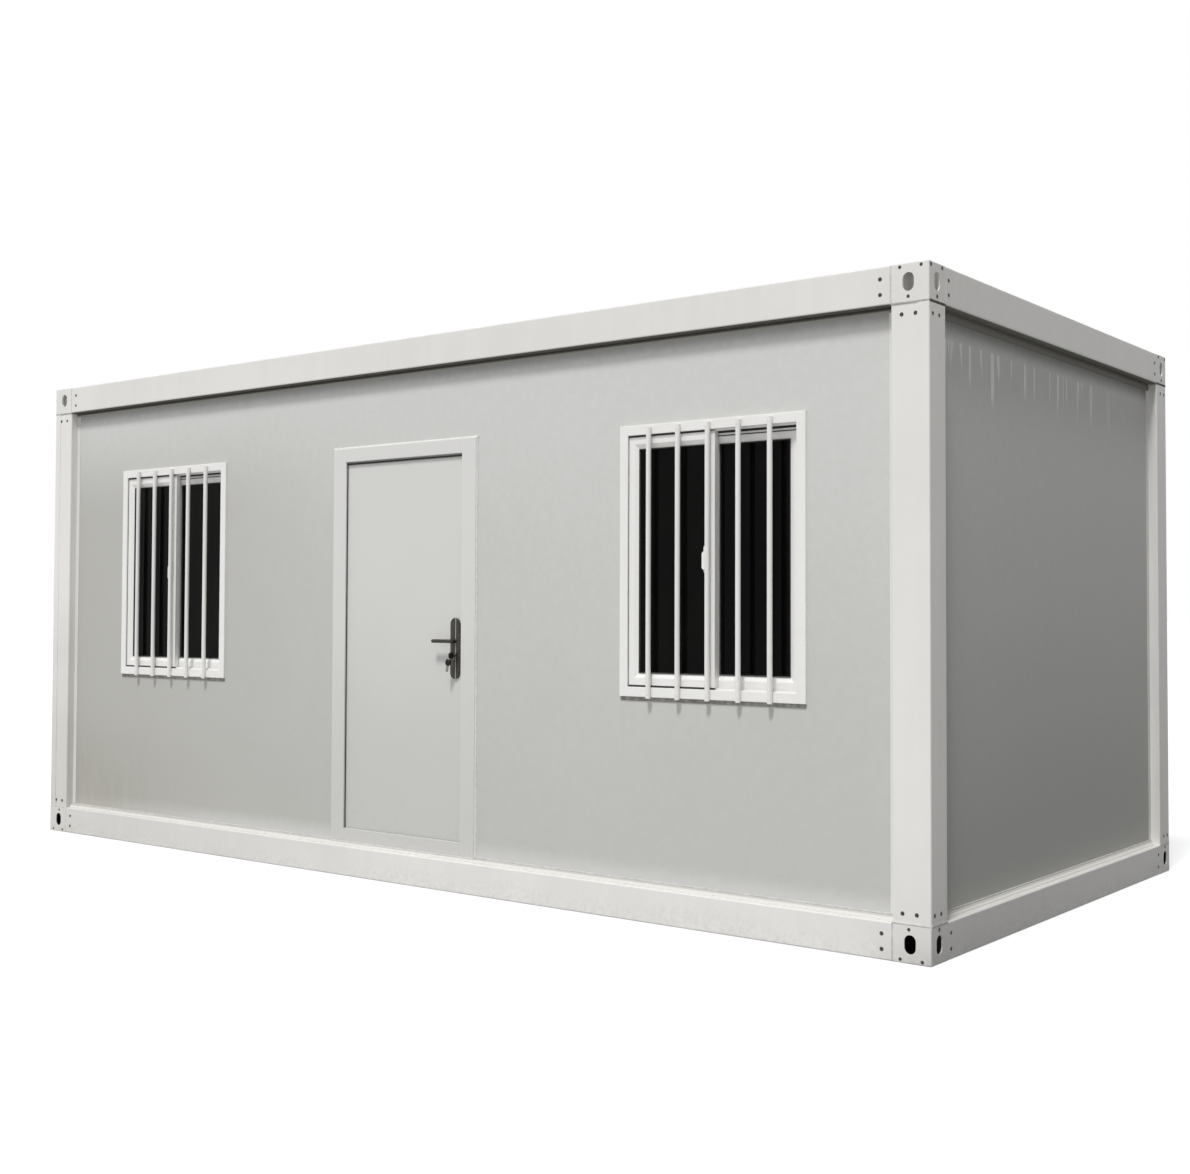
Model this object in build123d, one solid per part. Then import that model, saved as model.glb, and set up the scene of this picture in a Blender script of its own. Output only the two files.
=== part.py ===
"""Prefab site cabin: a bolted steel box frame with insulated wall panels, a door and two barred windows.

Millimetres, +Z up. The origin is on the ground under the middle of the cabin. The long sides run
along X, and the front wall, with the door and both windows, faces -Y.
"""

import math
import os

from build123d import *

# Overall size of the cabin
cabin_length = 6055.0
cabin_width = 2930.0
cabin_height = 2800.0

# Folded steel frame
frame_sheet = 3.0
fold_radius = 4.0
bottom_frame_height = 155.0
top_frame_height = 160.0
base_flange = 70.0
roof_flange = 60.0
flange_margin = 2.0
post_width = 170.0
post_depth = 150.0
post_lap_width = 53.0
post_lap_step = 2.0

# Corner boxes of welded plate, with lashing slots in the long sides and the right end and a pin hole
corner_plate = 8.0
corner_edge_radius = 4.0
slot_width = 50.0
slot_length = 76.0
slot_from_end = 92.0
slot_from_side = 72.0
slot_rise = 76.0
pin_hole_radius = 34.0

# Floor and roof
joist_flange = 50.0
joist_sheet = 2.5
joist_pitch = 620.0
deck_thickness = 20.0
purlin_height = 80.0
ceiling_thickness = 20.0
board_gap = 2.0
roof_sheet = 2.0
roof_rib_pitch = 205.0
roof_rib_foot = 62.0
roof_rib_crest = 32.0
roof_rib_height = 26.0
roof_edge_gap = 10.0

# Insulated wall panels in folded edge tracks
wall_recess = 50.0
wall_thickness = 50.0
track_sheet = 2.0
base_leg = 20.0
head_leg = 20.0
side_leg = 30.0
track_joint = 0.5
drip_run = 20.0
drip_lip = 4.0

# Door frame: casing outside, stop and rebate in the wall, lining inside
door_center_x = 48.0
door_clear_width = 840.0
wall_over_door = 380.0
door_sill_face = 68.0
door_jamb_face = 95.0
door_head_face = 73.0
door_casing_proud = 12.0
door_casing_edge = 3.0
door_lining_proud = 4.0
door_wall_lap = 30.0
fit_gap = 2.0
frame_joint = 0.4

# Door leaf, which opens into the room
leaf_thickness = 50.0
leaf_overlap = 12.0
door_gap = 7.0

# Lift-off hinges on the inside of the left jamb
hinge_height = 100.0
hinge_from_end = 220.0
knuckle_radius = 8.0
hinge_pin_radius = 5.0
hinge_pin_clearance = 0.1
hinge_plate = 3.0
hinge_plate_width = 36.0
hinge_clearance = 1.0

# Lock plates, lever and cylinder
lock_plate_width = 66.0
lock_plate_height = 305.0
lock_plate_thickness = 10.0
lock_plate_crown = 4.0
lock_plate_edge = 2.0
lock_plate_center_z = 1207.0
lock_center_from_leaf_edge = 59.0
lever_above_center = 36.0
lever_radius = 9.5
lever_reach = 33.0
lever_length = 118.0
lever_bend_radius = 16.0
spindle_radius = 5.0
spindle_clearance = 3.0
bearing_clearance = 0.3
cylinder_below_lever = 72.0
cylinder_radius = 8.5
cylinder_web = 10.0
cylinder_height = 33.0
cylinder_proud = 3.0

# Sliding windows with round bars outside
left_window_from_post = 501.5
right_window_from_post = 417.5
window_width = 980.0
window_sill_z = 1006.0
wall_over_window = 394.0
window_frame_face = 45.0
window_frame_edge = 2.5
window_wall_lap = 15.0
window_proud = 12.0
window_inner_proud = 14.0
sash_face = 55.0
sash_thickness = 26.0
sash_bevel_width = 22.0
sash_bevel_depth = 8.5
sash_pitch = 30.0
sash_meeting_overlap = 54.0
track_rib_width = 4.0
track_rib_height = 8.0
glass_thickness = 5.0
glass_edge = 10.0
bar_count = 5
bar_pitch = 160.0
bar_radius = 12.0
bar_standoff = 9.0
bar_below_head = 13.0
bar_past_foot = 5.0

# How far every cutting tool runs past the face that it opens
overrun = 20.0

# Lines and planes that the pieces share
half_length = cabin_length / 2
half_width = cabin_width / 2
long_span = cabin_length - 2 * post_width
short_span = cabin_width - 2 * post_depth
top_frame_low = cabin_height - top_frame_height
wall_outer = wall_recess
wall_inner = wall_recess + wall_thickness
wall_low = bottom_frame_height + track_sheet
wall_high = top_frame_low - track_sheet
wall_flange = wall_inner + track_sheet + flange_margin
board_edge = wall_flange + board_gap
purlin_low = top_frame_low + frame_sheet
purlin_high = purlin_low + purlin_height

# A side is drawn with its outer face on y = 0 and the room at +Y, then set in its place
sides = {
    "front": (Pos(0, -half_width, 0), long_span),
    "rear": (Pos(0, half_width, 0) * Rot(0, 0, 180), long_span),
    "right": (Pos(half_length, 0, 0) * Rot(0, 0, 90), short_span),
    "left": (Pos(-half_length, 0, 0) * Rot(0, 0, -90), short_span),
}
front = sides["front"][0]

# A corner's name and the signs of its X and Y
corners = {
    "front_left": (-1, -1),
    "front_right": (1, -1),
    "rear_left": (-1, 1),
    "rear_right": (1, 1),
}


def block(x, y, z):
    """A box between two X, two Y and two Z values, each given as a pair in either order."""
    low = [min(pair) for pair in (x, y, z)]
    size = [max(pair) - min(pair) for pair in (x, y, z)]
    return Pos(*low) * Box(*size, align=(Align.MIN, Align.MIN, Align.MIN))


def channel_section(height, low_flange, high_flange, sheet):
    """A folded channel: web on the vertical axis, one flange at its foot and one at its head."""
    outline = make_face(
        Polyline(
            (0, 0),
            (low_flange, 0),
            (low_flange, sheet),
            (sheet, sheet),
            (sheet, height - sheet),
            (high_flange, height - sheet),
            (high_flange, height),
            (0, height),
            close=True,
        )
    )
    outline = fillet(outline.vertices().group_by(Axis.X)[1], fold_radius)
    return fillet(outline.vertices().group_by(Axis.X)[0], fold_radius + sheet)


def bottom_beam(span):
    """Floor beam: a channel whose head flange carries the wall, open to the joists."""
    section = channel_section(bottom_frame_height, base_flange, wall_flange, frame_sheet)
    return extrude(Plane.YZ * section, amount=span / 2, both=True)


def top_beam(span):
    """Roof beam: a channel whose foot flange holds the wall's head and carries the purlins."""
    section = channel_section(top_frame_height, wall_flange, roof_flange, frame_sheet)
    return Pos(0, 0, top_frame_low) * extrude(Plane.YZ * section, amount=span / 2, both=True)


def post_section(inset, radius):
    """The post's outline moved in by inset, with its outer corner at the origin and a lap along one face."""
    lap = post_lap_width - inset
    step = post_lap_step + inset
    outline = Polyline(
        (inset, inset),
        (lap, inset),
        (lap, step),
        (post_width - inset, step),
        (post_width - inset, post_depth - inset),
        (inset, post_depth - inset),
        close=True,
    )
    face = make_face(outline)
    columns = face.vertices().group_by(Axis.X)
    return fillet(columns[0] + columns[-1], radius)


def corner_post(sign_x, sign_y):
    """Folded hollow post between the bottom and the top corner box, with a lap down its long side."""
    section = post_section(0, fold_radius + frame_sheet) - post_section(frame_sheet, fold_radius)
    post = extrude(section, amount=top_frame_low - bottom_frame_height)
    if sign_x > 0:
        post = mirror(post, Plane.YZ)
    if sign_y > 0:
        post = mirror(post, Plane.XZ)
    return Pos(sign_x * half_length, sign_y * half_width, bottom_frame_height) * post


def corner_box(sign_x, sign_y, outer_z, inner_z):
    """Plate box at one corner, from its outer level face to the one that meets the post."""
    end_x = sign_x * half_length
    side_y = sign_y * half_width
    sign_z = math.copysign(1, inner_z - outer_z)
    shell = block(
        (end_x, end_x - sign_x * post_width),
        (side_y, side_y - sign_y * post_depth),
        (outer_z, inner_z),
    )
    shell = fillet(shell.edges(), corner_edge_radius)
    shell -= block(
        (end_x - sign_x * corner_plate, end_x - sign_x * (post_width - corner_plate)),
        (side_y - sign_y * corner_plate, side_y - sign_y * (post_depth - corner_plate)),
        (outer_z + sign_z * corner_plate, inner_z - sign_z * corner_plate),
    )
    upright = Plane.XZ * SlotOverall(slot_length, slot_width, rotation=90)
    slot = extrude(upright, amount=corner_plate + overrun / 2, both=True)
    slot_z = outer_z + sign_z * slot_rise
    shell -= Pos(end_x - sign_x * slot_from_end, side_y, slot_z) * slot
    if sign_x > 0:
        shell -= Pos(end_x, side_y - sign_y * slot_from_side, slot_z) * Rot(0, 0, 90) * slot
    pin_hole = Cylinder(pin_hole_radius, 2 * corner_plate + overrun)
    middle = (end_x - sign_x * post_width / 2, side_y - sign_y * post_depth / 2)
    return shell - Pos(*middle, outer_z) * pin_hole


def even_places(span, pitch):
    """Evenly spaced places across a span, both ends included, at most one pitch apart."""
    gaps = math.ceil(span / pitch)
    return [span * (step / gaps - 0.5) for step in range(gaps + 1)]


def cross_members(height, low):
    """Folded channels across the cabin, with their ends inside the front and rear beams."""
    section = channel_section(height, joist_flange, joist_flange, joist_sheet)
    reach = half_width - frame_sheet - fold_radius
    member = extrude(Plane.XZ * section, amount=reach, both=True)
    places = even_places(long_span - 2 * joist_flange, joist_pitch)
    return [Pos(x - joist_flange / 2, 0, low) * member for x in places]


def corner_notches(gap, low, high):
    """The four corners that posts and corner boxes take out of a board or sheet."""
    return [
        block(
            (sign_x * (half_length - post_width - gap), sign_x * (half_length + overrun)),
            (sign_y * (half_width - post_depth - gap), sign_y * (half_width + overrun)),
            (low, high),
        )
        for sign_x, sign_y in corners.values()
    ]


def inner_board(low, high):
    """A board that fills the frame between the beams' flanges, notched round the corners."""
    reach_x = half_length - board_edge
    reach_y = half_width - board_edge
    board = block((-reach_x, reach_x), (-reach_y, reach_y), (low, high))
    return board - corner_notches(board_gap, low - overrun, high + overrun)


def ribbed_roof():
    """Trapezoid roof sheet on the purlins, with its edges under the beams' head flanges."""
    reach_x = long_span / 2 - board_gap
    reach_y = half_width - frame_sheet - roof_edge_gap
    foot = roof_rib_foot / 2
    crest = roof_rib_crest / 2
    under = [(-reach_x, 0)]
    for x in even_places(long_span - roof_rib_pitch, roof_rib_pitch):
        under += [(x - foot, 0), (x - crest, roof_rib_height), (x + crest, roof_rib_height), (x + foot, 0)]
    under.append((reach_x, 0))
    over = [(x, z + roof_sheet) for x, z in reversed(under)]
    profile = make_face(Polyline(*under, *over, close=True))
    return Pos(0, 0, purlin_high) * extrude(Plane.XZ * profile, amount=reach_y, both=True)


def roof_end_strip(sign_x):
    """Flat strip that carries the roof on between two corner boxes, under the end beam's flange."""
    inner_x = long_span / 2 - board_gap + frame_joint
    outer_x = half_length - frame_sheet - roof_edge_gap
    reach_y = short_span / 2 - board_gap
    depth_z = (purlin_high, purlin_high + roof_sheet)
    return block((sign_x * inner_x, sign_x * outer_x), (-reach_y, reach_y), depth_z)


def drip_strip(span):
    """Sloping strip that sheds rain from the wall's foot on to the beam."""
    foot_y = wall_outer - track_sheet
    lip_y = foot_y - drip_run
    outline = Polyline(
        (lip_y, bottom_frame_height),
        (foot_y, bottom_frame_height),
        (foot_y, bottom_frame_height + base_leg),
        (lip_y, bottom_frame_height + drip_lip),
        close=True,
    )
    return extrude(Plane.YZ * make_face(outline), amount=span / 2, both=True)


def wall_tracks(span):
    """The four folded channels that hold a wall's edges: foot, head and both sides."""
    half = span / 2
    depth = (wall_outer - track_sheet, wall_inner + track_sheet)
    pocket = (wall_outer, wall_inner)
    long_way = (-half, half)
    cut_way = (-half - overrun, half + overrun)
    foot_top = bottom_frame_height + base_leg
    head_low = top_frame_low - head_leg
    foot = block(long_way, depth, (bottom_frame_height, foot_top))
    foot -= block(cut_way, pocket, (wall_low, foot_top + overrun))
    foot += drip_strip(span)
    head = block(long_way, depth, (head_low, top_frame_low))
    head -= block(cut_way, pocket, (head_low - overrun, wall_high))
    upright = (foot_top + track_joint, head_low - track_joint)
    tracks = [foot, head]
    for sign in (-1, 1):
        edge = block((sign * (half - side_leg), sign * half), depth, upright)
        inside = (sign * (half - side_leg - overrun), sign * (half - track_sheet))
        tracks.append(edge - block(inside, pocket, (bottom_frame_height, top_frame_low)))
    return tracks


def wall_panel(x, z):
    """A plain stretch of wall panel between two X and two Z values."""
    return block(x, (wall_outer, wall_inner), z)


window_head_z = top_frame_low - wall_over_window
window_centers_x = {
    "left": left_window_from_post + window_width / 2 - long_span / 2,
    "right": long_span / 2 - right_window_from_post - window_width / 2,
}


def window_rect(center_x, inset):
    """The X and Z spans of a window's outline, moved in by inset on all four sides."""
    half = window_width / 2 - inset
    return (center_x - half, center_x + half), (window_sill_z + inset, window_head_z - inset)


def window_hole(center_x):
    """The cut that a window frame needs in the wall."""
    x, z = window_rect(center_x, window_wall_lap)
    return block(x, (wall_outer - overrun, wall_inner + overrun), z)


door_low = bottom_frame_height + base_leg + door_sill_face
door_high = top_frame_low - wall_over_door - door_head_face
door_face = wall_outer - door_casing_proud
leaf_back = wall_inner + door_lining_proud
leaf_front = leaf_back - leaf_thickness
leaf_left = door_center_x - door_clear_width / 2 - leaf_overlap
leaf_right = door_center_x + door_clear_width / 2 + leaf_overlap


def door_ring(side, head, foot_z, depth):
    """A rectangle round the clear doorway, wider by side, higher by head, down to foot_z."""
    half = door_clear_width / 2 + side
    return block((door_center_x - half, door_center_x + half), depth, (foot_z, door_high + head))


door_hole_side = door_jamb_face - door_wall_lap
door_hole_head = door_head_face - door_wall_lap


def front_walls():
    """The front wall in three panels: left of the doorway, over it and right of it."""
    end = long_span / 2 - track_sheet
    hole_left = door_center_x - door_clear_width / 2 - door_hole_side
    hole_right = door_center_x + door_clear_width / 2 + door_hole_side
    left = wall_panel((-end, hole_left), (wall_low, wall_high))
    over = wall_panel((hole_left, hole_right), (door_high + door_hole_head, wall_high))
    right = wall_panel((hole_right, end), (wall_low, wall_high))
    return {
        "front_wall_left": left - window_hole(window_centers_x["left"]),
        "front_wall_over_door": over,
        "front_wall_right": right - window_hole(window_centers_x["right"]),
    }


def door_frame():
    """Two jambs, a head and a sill: casing on the wall, stop for the leaf, lining in the room."""
    stop_back = leaf_front - door_gap
    casing_foot = bottom_frame_height + base_leg
    body_side = door_hole_side - fit_gap
    body_head = door_hole_head - fit_gap
    rebate = leaf_overlap + door_gap
    frame = door_ring(door_jamb_face, door_head_face, casing_foot, (door_face, wall_outer))
    frame += door_ring(body_side, body_head, wall_low, (wall_outer, wall_inner))
    frame += door_ring(door_jamb_face, door_head_face, casing_foot, (wall_inner, leaf_back))
    frame -= door_ring(0, 0, door_low, (door_face - overrun, leaf_back + overrun))
    frame -= door_ring(rebate, rebate, door_low - rebate, (stop_back, leaf_back + overrun))
    frame = fillet(frame.faces().sort_by(Axis.Y)[0].edges(), door_casing_edge)
    for sign in (-1, 1):
        joint_x = door_center_x + sign * door_clear_width / 2
        joint = (joint_x, joint_x - sign * frame_joint)
        frame -= block(joint, (door_face - overrun, leaf_back + overrun), (0, cabin_height))
    return frame


lock_x = leaf_right - lock_center_from_leaf_edge
lever_z = lock_plate_center_z + lever_above_center
cylinder_z = lever_z - cylinder_below_lever


def lock_cylinder(clearance, depth):
    """Profile cylinder: a round barrel over a narrow web with a round foot, between two depths."""
    web = cylinder_web / 2 + clearance
    foot_z = cylinder_radius - cylinder_height + cylinder_web / 2
    profile = Circle(cylinder_radius + clearance)
    profile += Pos(0, foot_z / 2) * Rectangle(2 * web, -foot_z)
    profile += Pos(0, foot_z) * Circle(web)
    solid = extrude(Plane.XZ * profile, amount=depth[1] - depth[0])
    return Pos(lock_x, depth[1], cylinder_z) * solid


def spindle_bore(radius):
    """The round cut for the lever's neck or spindle, through the whole door."""
    return Pos(lock_x, leaf_back, lever_z) * Rot(90, 0, 0) * Cylinder(radius, 2 * leaf_back)


def cylinder_cut():
    """The cut for the lock cylinder, through the whole door."""
    return lock_cylinder(bearing_clearance, (-overrun, leaf_back + lock_plate_thickness + overrun))


def door_leaf():
    """Flush leaf, bored for the spindle and cut for the lock cylinder."""
    leaf = door_ring(leaf_overlap, leaf_overlap, door_low - leaf_overlap, (leaf_front, leaf_back))
    return leaf - spindle_bore(spindle_radius + spindle_clearance) - cylinder_cut()


def lock_plates():
    """Long crowned plates with round ends on both faces of the leaf, with the lever's bearing in each."""
    outline = Plane.XZ * SlotOverall(lock_plate_height, lock_plate_width, rotation=90)
    crown_radius = (lock_plate_width**2 / 4 + lock_plate_crown**2) / (2 * lock_plate_crown)
    crown = Pos(0, crown_radius - lock_plate_thickness, 0) * Cylinder(crown_radius, lock_plate_height)
    plate = extrude(outline, amount=lock_plate_thickness) & crown
    plate = fillet(plate.faces().sort_by(Axis.Y)[0].edges(), lock_plate_edge)
    outside = Pos(lock_x, leaf_front, lock_plate_center_z) * plate
    inside = Pos(lock_x, leaf_back, lock_plate_center_z) * Rot(0, 0, 180) * plate
    bearing = spindle_bore(lever_radius + bearing_clearance)
    return [piece - bearing - cylinder_cut() for piece in (outside, inside)]


def lever_arm(seat_y, out):
    """One lever from the face of the leaf: a neck straight out, a bend and a grip with a round end."""
    grip_y = seat_y + out * (lock_plate_thickness + lever_reach)
    path = FilletPolyline(
        (lock_x, seat_y, lever_z),
        (lock_x, grip_y, lever_z),
        (lock_x - lever_length, grip_y, lever_z),
        radius=lever_bend_radius,
    )
    arm = sweep(Plane(path @ 0, z_dir=path % 0) * Circle(lever_radius), path=path)
    return arm + Pos(path @ 1) * Sphere(lever_radius)


def door_lever():
    """Both levers on their common spindle through the leaf."""
    spindle = Pos(lock_x, leaf_front, lever_z) * Rot(-90, 0, 0) * Cylinder(
        spindle_radius, leaf_thickness, align=(Align.CENTER, Align.CENTER, Align.MIN)
    )
    return spindle + lever_arm(leaf_front, -1) + lever_arm(leaf_back, 1)


hinge_x = leaf_left - door_gap / 2
hinge_y = leaf_back + knuckle_radius + hinge_clearance
leaf_low = door_low - leaf_overlap
leaf_high = door_high + leaf_overlap
hinge_places = [leaf_low + hinge_from_end, (leaf_low + leaf_high) / 2, leaf_high - hinge_from_end]


def round_bar(radius, low, high):
    """A round bar on the hinges' axis between two heights."""
    bar = Cylinder(radius, high - low, align=(Align.CENTER, Align.CENTER, Align.MIN))
    return Pos(hinge_x, hinge_y, low) * bar


def hinge_plate_on(sign, low, high):
    """The flat flag of a hinge, to the left or right of its axis, on the inner face of the door."""
    return block((hinge_x, hinge_x + sign * hinge_plate_width), (leaf_back, leaf_back + hinge_plate), (low, high))


def fixed_hinge(z):
    """Lower half of a hinge, on the jamb, with the pin."""
    low = z - hinge_height / 2
    high = z - hinge_clearance
    pin = round_bar(hinge_pin_radius, low, z + hinge_height / 2)
    return hinge_plate_on(-1, low, high) + round_bar(knuckle_radius, low, high) + pin


def moving_hinge(z):
    """Upper half of a hinge, on the leaf, bored for the pin."""
    high = z + hinge_height / 2
    half = hinge_plate_on(1, z, high) + round_bar(knuckle_radius, z, high)
    return half - round_bar(hinge_pin_radius + hinge_pin_clearance, z - overrun, high + overrun)


window_face = wall_outer - window_proud
window_back = wall_inner + window_inner_proud
window_middle = (window_face + window_back) / 2
sash_planes = {"outer": window_middle - sash_pitch / 2, "inner": window_middle + sash_pitch / 2}


def window_frame(center_x):
    """Frame with a flange on the wall's face and two running ribs along sill and head."""
    flange_x, flange_z = window_rect(center_x, 0)
    body_x, body_z = window_rect(center_x, window_wall_lap + fit_gap)
    open_x, open_z = window_rect(center_x, window_frame_face)
    frame = block(flange_x, (window_face, wall_outer), flange_z)
    frame += block(body_x, (wall_outer, window_back), body_z)
    frame -= block(open_x, (window_face - overrun, window_back + overrun), open_z)
    frame = fillet(frame.faces().sort_by(Axis.Y)[0].edges(), window_frame_edge)
    for plane in sash_planes.values():
        rib = (plane - track_rib_width / 2, plane + track_rib_width / 2)
        frame += block(open_x, rib, (open_z[0], open_z[0] + track_rib_height))
        frame += block(open_x, rib, (open_z[1], open_z[1] - track_rib_height))
    return frame


def sash_spans(center_x, name):
    """X and Z spans of a sash: the outer one closes the left half, the inner one the right."""
    open_x, open_z = window_rect(center_x, window_frame_face)
    reach = sash_meeting_overlap / 2
    x = (open_x[0], center_x + reach) if name == "outer" else (center_x - reach, open_x[1])
    return x, (open_z[0] + track_rib_height, open_z[1] - track_rib_height)


def shrunk(span, inset):
    """A span of two values, low first, moved in at both ends."""
    return span[0] + inset, span[1] - inset


def window_pane(center_x, name):
    """The glass of one sash, with its edges in the sash's groove."""
    x, z = sash_spans(center_x, name)
    inset = sash_face - glass_edge
    depth = (sash_planes[name] - glass_thickness / 2, sash_planes[name] + glass_thickness / 2)
    return block(shrunk(x, inset), depth, shrunk(z, inset))


def window_sash(center_x, name):
    """One sliding sash: four stiles and rails, bevelled to the glass outside and grooved for it."""
    x, z = sash_spans(center_x, name)
    depth = (sash_planes[name] - sash_thickness / 2, sash_planes[name] + sash_thickness / 2)
    sash = block(x, depth, z)
    sash -= block(shrunk(x, sash_face), (depth[0] - overrun, depth[1] + overrun), shrunk(z, sash_face))
    outside = sash.faces().sort_by(Axis.Y)[0]
    sash = chamfer(outside.inner_wires()[0].edges(), sash_bevel_width, sash_bevel_depth, reference=outside)
    return sash - window_pane(center_x, name)


def window_bars(center_x):
    """Round bars over a window, flattened at both ends where they are screwed to the frame."""
    low = window_sill_z - bar_past_foot
    length = window_head_z - bar_below_head - low
    bars = []
    for place in even_places(bar_pitch * (bar_count - 1), bar_pitch):
        bar = Cylinder(bar_radius, length, align=(Align.CENTER, Align.CENTER, Align.MIN))
        bar = Pos(center_x + place, window_face - bar_standoff, low) * bar
        bar -= window_frame_seat(center_x)
        bars.append(bar)
    return bars


def window_frame_seat(center_x):
    """The frame's sill and head as solid blocks, which flatten the bars' ends."""
    span_x, span_z = window_rect(center_x, 0)
    depth = (window_face, window_face + bar_radius + overrun)
    low = (span_z[0] - overrun, span_z[0] + window_frame_face)
    high = (span_z[1] - window_frame_face, span_z[1] + overrun)
    return [block(span_x, depth, low), block(span_x, depth, high)]


def placed(piece):
    """A piece, or a list of like pieces as one compound."""
    return Compound(children=piece) if isinstance(piece, list) else piece


nodes = {}
for side, (place, span) in sides.items():
    nodes[f"bottom_beam_{side}"] = place * bottom_beam(span)
    nodes[f"top_beam_{side}"] = place * top_beam(span)
for corner, signs in corners.items():
    nodes[f"bottom_corner_{corner}"] = corner_box(*signs, 0, bottom_frame_height)
    nodes[f"corner_post_{corner}"] = corner_post(*signs)
    nodes[f"top_corner_{corner}"] = corner_box(*signs, cabin_height, top_frame_low)

joist_height = bottom_frame_height - 2 * frame_sheet
deck_low = bottom_frame_height - frame_sheet
nodes["floor_joists"] = cross_members(joist_height, frame_sheet)
nodes["floor_deck"] = inner_board(deck_low, deck_low + deck_thickness)
nodes["roof_purlins"] = cross_members(purlin_height, purlin_low)
nodes["roof_sheet"] = [ribbed_roof(), roof_end_strip(-1), roof_end_strip(1)]
nodes["ceiling"] = inner_board(purlin_low - ceiling_thickness, purlin_low)

nodes["wall_tracks"] = [place * track for place, span in sides.values() for track in wall_tracks(span)]
for name, panel in front_walls().items():
    nodes[name] = front * panel
for side in ("rear", "right", "left"):
    place, span = sides[side]
    end = span / 2 - track_sheet
    nodes[f"{side}_wall"] = place * wall_panel((-end, end), (wall_low, wall_high))

nodes["door_frame"] = [front * member for member in door_frame().solids()]
nodes["door_leaf"] = front * door_leaf()
nodes["door_hinges_fixed"] = [front * fixed_hinge(z) for z in hinge_places]
nodes["door_hinges_moving"] = [front * moving_hinge(z) for z in hinge_places]
nodes["door_lock_plates"] = [front * plate for plate in lock_plates()]
cylinder_ends = (
    leaf_front - lock_plate_thickness - cylinder_proud,
    leaf_back + lock_plate_thickness + cylinder_proud,
)
nodes["door_lock_cylinder"] = front * lock_cylinder(0, cylinder_ends)
nodes["door_lever"] = front * door_lever()

panes = []
bars = []
for name, center_x in window_centers_x.items():
    nodes[f"{name}_window_frame"] = front * window_frame(center_x)
    nodes[f"{name}_window_sashes"] = [front * window_sash(center_x, sash) for sash in sash_planes]
    panes += [front * window_pane(center_x, sash) for sash in sash_planes]
    bars += [front * bar for bar in window_bars(center_x)]
nodes["window_glass"] = panes
nodes["window_bars"] = bars

os.makedirs("parts", exist_ok=True)
for name, piece in nodes.items():
    export_step(placed(piece), f"parts/{name}.step")
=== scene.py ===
import math

import bmesh
import bpy
from mathutils import Matrix, Vector


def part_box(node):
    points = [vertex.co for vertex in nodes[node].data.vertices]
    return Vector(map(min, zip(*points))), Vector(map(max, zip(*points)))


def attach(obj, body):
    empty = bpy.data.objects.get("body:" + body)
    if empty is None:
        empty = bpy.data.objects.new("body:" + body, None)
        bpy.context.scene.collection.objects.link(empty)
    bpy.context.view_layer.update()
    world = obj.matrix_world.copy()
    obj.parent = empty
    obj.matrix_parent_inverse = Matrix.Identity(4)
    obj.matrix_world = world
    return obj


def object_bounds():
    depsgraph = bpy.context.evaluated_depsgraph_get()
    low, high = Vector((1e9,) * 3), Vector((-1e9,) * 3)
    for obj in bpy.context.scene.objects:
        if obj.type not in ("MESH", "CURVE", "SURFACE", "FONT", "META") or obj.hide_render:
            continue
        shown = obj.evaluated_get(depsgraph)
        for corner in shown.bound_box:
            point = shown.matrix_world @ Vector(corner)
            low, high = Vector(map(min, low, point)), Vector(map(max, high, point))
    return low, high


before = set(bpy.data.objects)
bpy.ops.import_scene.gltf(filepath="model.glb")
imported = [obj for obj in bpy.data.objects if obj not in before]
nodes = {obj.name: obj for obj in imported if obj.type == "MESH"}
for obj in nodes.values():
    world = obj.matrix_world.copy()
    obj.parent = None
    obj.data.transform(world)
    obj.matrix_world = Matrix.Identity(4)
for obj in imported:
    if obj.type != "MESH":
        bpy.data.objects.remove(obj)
cabin_low, cabin_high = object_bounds()

# The frame: folded channel beams and hollow posts between welded corner boxes, all of them steel.
# It is sprayed in the works with a satin off-white coat. Dust has settled on its ledges, a film of
# road dust on its left, and grime at its foot.
frame_white = (0.80, 0.79, 0.76)
post_white = (0.83, 0.82, 0.79)
frame_grime = (0.46, 0.43, 0.37)
ledge_dust = (0.60, 0.585, 0.55)
frame_roughness = 0.42
film_grey = (0.47, 0.457, 0.43)
beam_film_share = 0.33
post_film_share = 0.52
dust_film_right = 0.5
dust_film_height = 1.7
grime_height = 0.12
ledge_rise = (0.35, 0.9)
peel_to_the_metre = 420
peel_depth = 0.00012


class Wire:
    """A socket of a finish's nodes. Sums of wires and numbers add the Math nodes that they need."""

    def __init__(self, finish, socket):
        self.finish = finish
        self.socket = socket

    def math(self, operation, first, second):
        return self.finish.add("ShaderNodeMath", {"operation": operation}, {0: first, 1: second})

    def __add__(self, other):
        return self.math("ADD", self, other)

    def __sub__(self, other):
        return self.math("SUBTRACT", self, other)

    def __rsub__(self, other):
        return self.math("SUBTRACT", other, self)

    def __mul__(self, other):
        return self.math("MULTIPLY", self, other)

    def size(self):
        return self.math("ABSOLUTE", self, 0)

    def least(self, other):
        return self.math("MINIMUM", self, other)

    __radd__ = __add__
    __rmul__ = __mul__


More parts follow.
